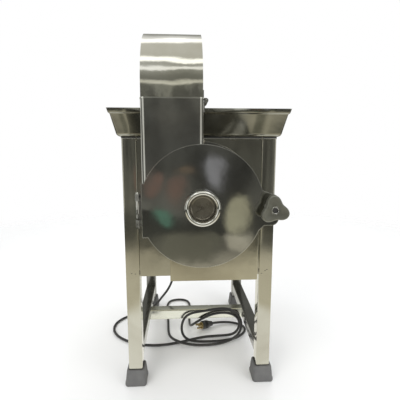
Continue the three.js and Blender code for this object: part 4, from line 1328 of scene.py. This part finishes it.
FLOOR_FADE = (1.7, 2.8)  # the floor thins out to nothing between these distances
FLOOR_COLORS = ((0.93, 0.93, 0.92), (0.90, 0.90, 0.89))
DISC = {"sides": 96, "radii": (0.001, 3)}
BACKDROP = 1.0


def disc(name, height):
    rings = [[(x, y, height) for x, y in circle(0, 0, radius, DISC["sides"])] for radius in DISC["radii"]]
    return loft(name, rings, (True, False))


def floor():
    ground = disc("floor", 0)
    made = Shader("floor", FLOOR_COLORS[0], 0, 0.75)
    made.color(made.mix(made.noise(3, 3), *FLOOR_COLORS))
    distance = made.vector("LENGTH", made.place)
    made.link(made.spread(distance, *FLOOR_FADE, 1, 0), made.bsdf.inputs["Alpha"])
    ground.data.materials.append(made.material)


SKY = [  # sine of elevation in front, or two less it behind, and what steel reflects from there
    (-1.0, (0.34, 0.33, 0.28)),
    (-0.05, (0.058, 0.058, 0.051)),
    (0.10, (0.072, 0.072, 0.064)),
    (0.25, (0.13, 0.13, 0.11)),
    (0.31, (0.56, 0.55, 0.47)),
    (0.37, (0.56, 0.55, 0.47)),
    (0.42, (0.17, 0.17, 0.145)),
    (0.52, (0.20, 0.20, 0.17)),
    (0.65, (0.30, 0.30, 0.26)),
    (0.675, (1.05, 1.05, 1.0)),
    (0.715, (1.05, 1.05, 1.0)),
    (0.74, (0.44, 0.44, 0.40)),
    (0.80, (0.40, 0.40, 0.36)),
    (0.83, (1.5, 1.5, 1.42)),
    (0.89, (1.5, 1.5, 1.42)),
    (0.92, (0.54, 0.53, 0.47)),
    (1.035, (0.60, 0.59, 0.53)),
    (1.06, (1.5, 1.5, 1.45)),
    (1.12, (1.5, 1.5, 1.45)),
    (1.16, (0.85, 0.85, 0.83)),
    (1.35, (0.36, 0.36, 0.33)),
    (1.70, (0.17, 0.17, 0.15)),
    (1.92, (0.085, 0.086, 0.075)),
    (2.05, (0.075, 0.076, 0.066)),
    (3.0, (0.34, 0.33, 0.28)),
]
SIDE_STRIP = (0.42, 0.52, 0.90, 0.97)  # a pale strip of the studio rises and falls between these shares of X
STRIP_COLOR = (0.80, 0.80, 0.74)
STREAKS = (0.75, 2.4)  # dark and pale uprights along the horizon
STREAK_HEIGHT, STRIP_HEIGHT = (0.15, 0.35), (0.25, 0.40)  # sines of elevation over which they die away
SOFT_LIGHT = (0.92, 0.93, 0.95)


class World(Nodes):
    """The world's nodes, with the three parts of a direction to hand."""

    def __init__(self):
        SCENE.world = bpy.data.worlds.new("studio")
        SCENE.world.use_nodes = True
        SCENE.world.node_tree.nodes.clear()
        super().__init__(SCENE.world.node_tree, "Generated")
        split = self.node("ShaderNodeSeparateXYZ")
        self.link(self.place, split.inputs[0])
        self.x, self.y, self.z = split.outputs


def banded_studio(world):
    """The studio's bright and dark bands, in front and behind."""
    behind = world.math("GREATER_THAN", world.y, 0)
    in_front = world.math("SUBTRACT", 1, behind)
    turned_over = world.math("SUBTRACT", 2, world.z)
    height = world.math(
        "ADD", world.math("MULTIPLY", behind, turned_over), world.math("MULTIPLY", in_front, world.z)
    )
    return world.ramp(height, SKY)


def streaked(world, bands, level):
    """Dark and pale uprights over the bands, near the horizon only."""
    uprights = world.noise(7, 2, stretch=(1, 1, 0.2))
    streak = world.spread(uprights, 0.42, 0.66, *STREAKS)
    low_down = world.spread(level, *STREAK_HEIGHT, 1, 0)
    return world.mix(low_down, bands, world.mix(1.0, bands, streak, "MULTIPLY"))


def side_strip(world, level):
    """How much of the pale strip shows in a direction."""
    sideways = world.math("ABSOLUTE", world.x)
    first, full, last, gone = SIDE_STRIP
    rising, falling = world.spread(sideways, first, full), world.spread(sideways, last, gone, 1, 0)
    across = world.math("MULTIPLY", rising, falling)
    return world.math("MULTIPLY", across, world.spread(level, *STRIP_HEIGHT, 1, 0))


def surroundings():
    """White to the camera, a striped studio to polished steel, and an even soft light to the rest."""
    world = World()
    level = world.math("ABSOLUTE", world.z)
    bands = banded_studio(world)
    studio = world.mix(side_strip(world, level), streaked(world, bands, level), STRIP_COLOR)
    path = world.node("ShaderNodeLightPath")
    lit = world.mix(path.outputs["Is Glossy Ray"], SOFT_LIGHT, studio)
    seen = world.mix(path.outputs["Is Camera Ray"], lit, (BACKDROP, BACKDROP, BACKDROP))
    background = world.node("ShaderNodeBackground")
    world.link(seen, background.inputs["Color"])
    world.link(background.outputs[0], world.node("ShaderNodeOutputWorld").inputs["Surface"])


def only_reflected(target):
    """A part of the studio that shows in polished steel and nowhere else."""
    target.visible_camera = False
    target.visible_diffuse = False
    target.visible_shadow = False
    target.visible_transmission = False


GROUND = [  # distance from the middle and how bright steel sees the floor there
    (0, (0.90, 0.89, 0.83)),
    (0.64, (0.88, 0.87, 0.80)),
    (0.72, (0.58, 0.545, 0.42)),
    (1.35, (0.54, 0.505, 0.395)),
    (1.62, (0.16, 0.155, 0.125)),
    (2.1, (0.06, 0.06, 0.05)),
    (3.0, (0.058, 0.058, 0.051)),
]


CARD_BLUR = (0.55, 0.95)  # shares of a card's half size over which it fades out
CARD_WARP = {"scale": 2.2, "by": (0.9, 0.9, 0.9), "middle": (0.45, 0.45, 0.45)}
FLAT = (1, 1, 0)


class Glow(Nodes):
    """A material that only sends out light."""

    def __init__(self, name):
        self.material = bpy.data.materials.new(name)
        self.material.use_nodes = True
        super().__init__(self.material.node_tree, "Object")
        self.tree.nodes.remove(self.tree.nodes["Principled BSDF"])
        self.light = self.node("ShaderNodeEmission")

    def show(self, shader):
        self.link(shader, self.tree.nodes["Material Output"].inputs["Surface"])
        return self.material


def ringed_glow(name, stops):
    """Rings of colour about the object's middle."""
    made = Glow(name)
    made.link(made.ramp(made.vector("LENGTH", made.place), stops), made.light.inputs["Color"])
    return made.show(made.light.outputs[0])


def soft_glow(name, color):
    """One colour, fading out towards an uneven edge."""
    made = Glow(name)
    made.feed(color, made.light.inputs["Color"])
    warp = made.vector("MULTIPLY", made.noise(CARD_WARP["scale"], 4, output="Color"), CARD_WARP["by"])
    moved = made.vector("SUBTRACT", made.vector("ADD", made.place, warp), CARD_WARP["middle"])
    distance = made.vector("LENGTH", made.vector("MULTIPLY", moved, FLAT))
    blend = made.node("ShaderNodeMixShader")
    clear = made.node("ShaderNodeBsdfTransparent")
    layers = (made.spread(distance, *CARD_BLUR, 1, 0), clear.outputs[0], made.light.outputs[0])
    for output, socket in zip(layers, blend.inputs):
        made.link(output, socket)
    return made.show(blend.outputs[0])


CARDS = [  # colour, then left, right, bottom and top, all hung just behind the camera
    ((0.23, 0.155, 0.125), -0.235, -0.135, 0.440, 0.580),
    ((0.22, 0.15, 0.12), -0.125, -0.020, 0.400, 0.540),
    ((0.18, 0.14, 0.10), -0.095, 0.040, 0.530, 0.600),
    ((0.34, 0.34, 0.36), 0.062, 0.165, 0.440, 0.680),
    ((0.13, 0.26, 0.19), -0.190, -0.090, 0.285, 0.390),
    ((0.50, 0.48, 0.34), 0.165, 0.300, 0.250, 0.455),
    ((0.56, 0.53, 0.42), 0.150, 0.330, 0.130, 0.290),
    ((0.19, 0.185, 0.14), -0.250, 0.200, 0.060, 0.290),
]
CARD_PLANE = -1.1


def reflected_room():
    """What stands behind the camera and shows, dimly, in the door."""
    for i, (color, left, right, bottom, top) in enumerate(CARDS):
        mesh = bpy.data.meshes.new(f"card_{i}")
        mesh.from_pydata([(-1, -1, 0), (1, -1, 0), (1, 1, 0), (-1, 1, 0)], [], [(0, 1, 2, 3)])
        card = bpy.data.objects.new(f"card_{i}", mesh)
        card.location = ((left + right) / 2, CARD_PLANE - 0.004 * i, (bottom + top) / 2)
        card.rotation_euler = (math.pi / 2, 0, 0)
        card.scale = ((right - left) / 2, (top - bottom) / 2, 1)
        card.data.materials.append(soft_glow(f"card_{i}", color))
        SCENE.collection.objects.link(card)
        only_reflected(card)
    ground = disc("ground_reflection", 0.0003)
    ground.data.materials.append(ringed_glow("ground_reflection", GROUND))
    only_reflected(ground)


LIGHTS = [  # name, place, aimed at, width, height, power, colour
    ("key", (-1.5, -1.9, 2.3), (0, -0.1, 0.5), 1.4, 1.4, 26, (1, 0.985, 0.95)),
    ("fill", (1.9, -1.6, 1.2), (0, -0.1, 0.5), 1.2, 1.6, 12, (0.97, 0.98, 1)),
    ("rear", (0.3, 2.2, 2.0), (0, 0, 0.5), 1.8, 1.2, 20, (1, 1, 1)),
]


def lights():
    for name, place, target, width, height, power, color in LIGHTS:
        data = bpy.data.lights.new(name, "AREA")
        data.shape = "RECTANGLE"
        data.size, data.size_y = width, height
        data.energy = power
        data.color = color
        lamp = bpy.data.objects.new(name, data)
        lamp.location = place
        lamp.rotation_euler = (Vector(target) - Vector(place)).to_track_quat("-Z", "Y").to_euler()
        lamp.visible_glossy = False
        SCENE.collection.objects.link(lamp)


floor()
reflected_room()
surroundings()
lights()
SCENE.view_settings.view_transform = "Standard"
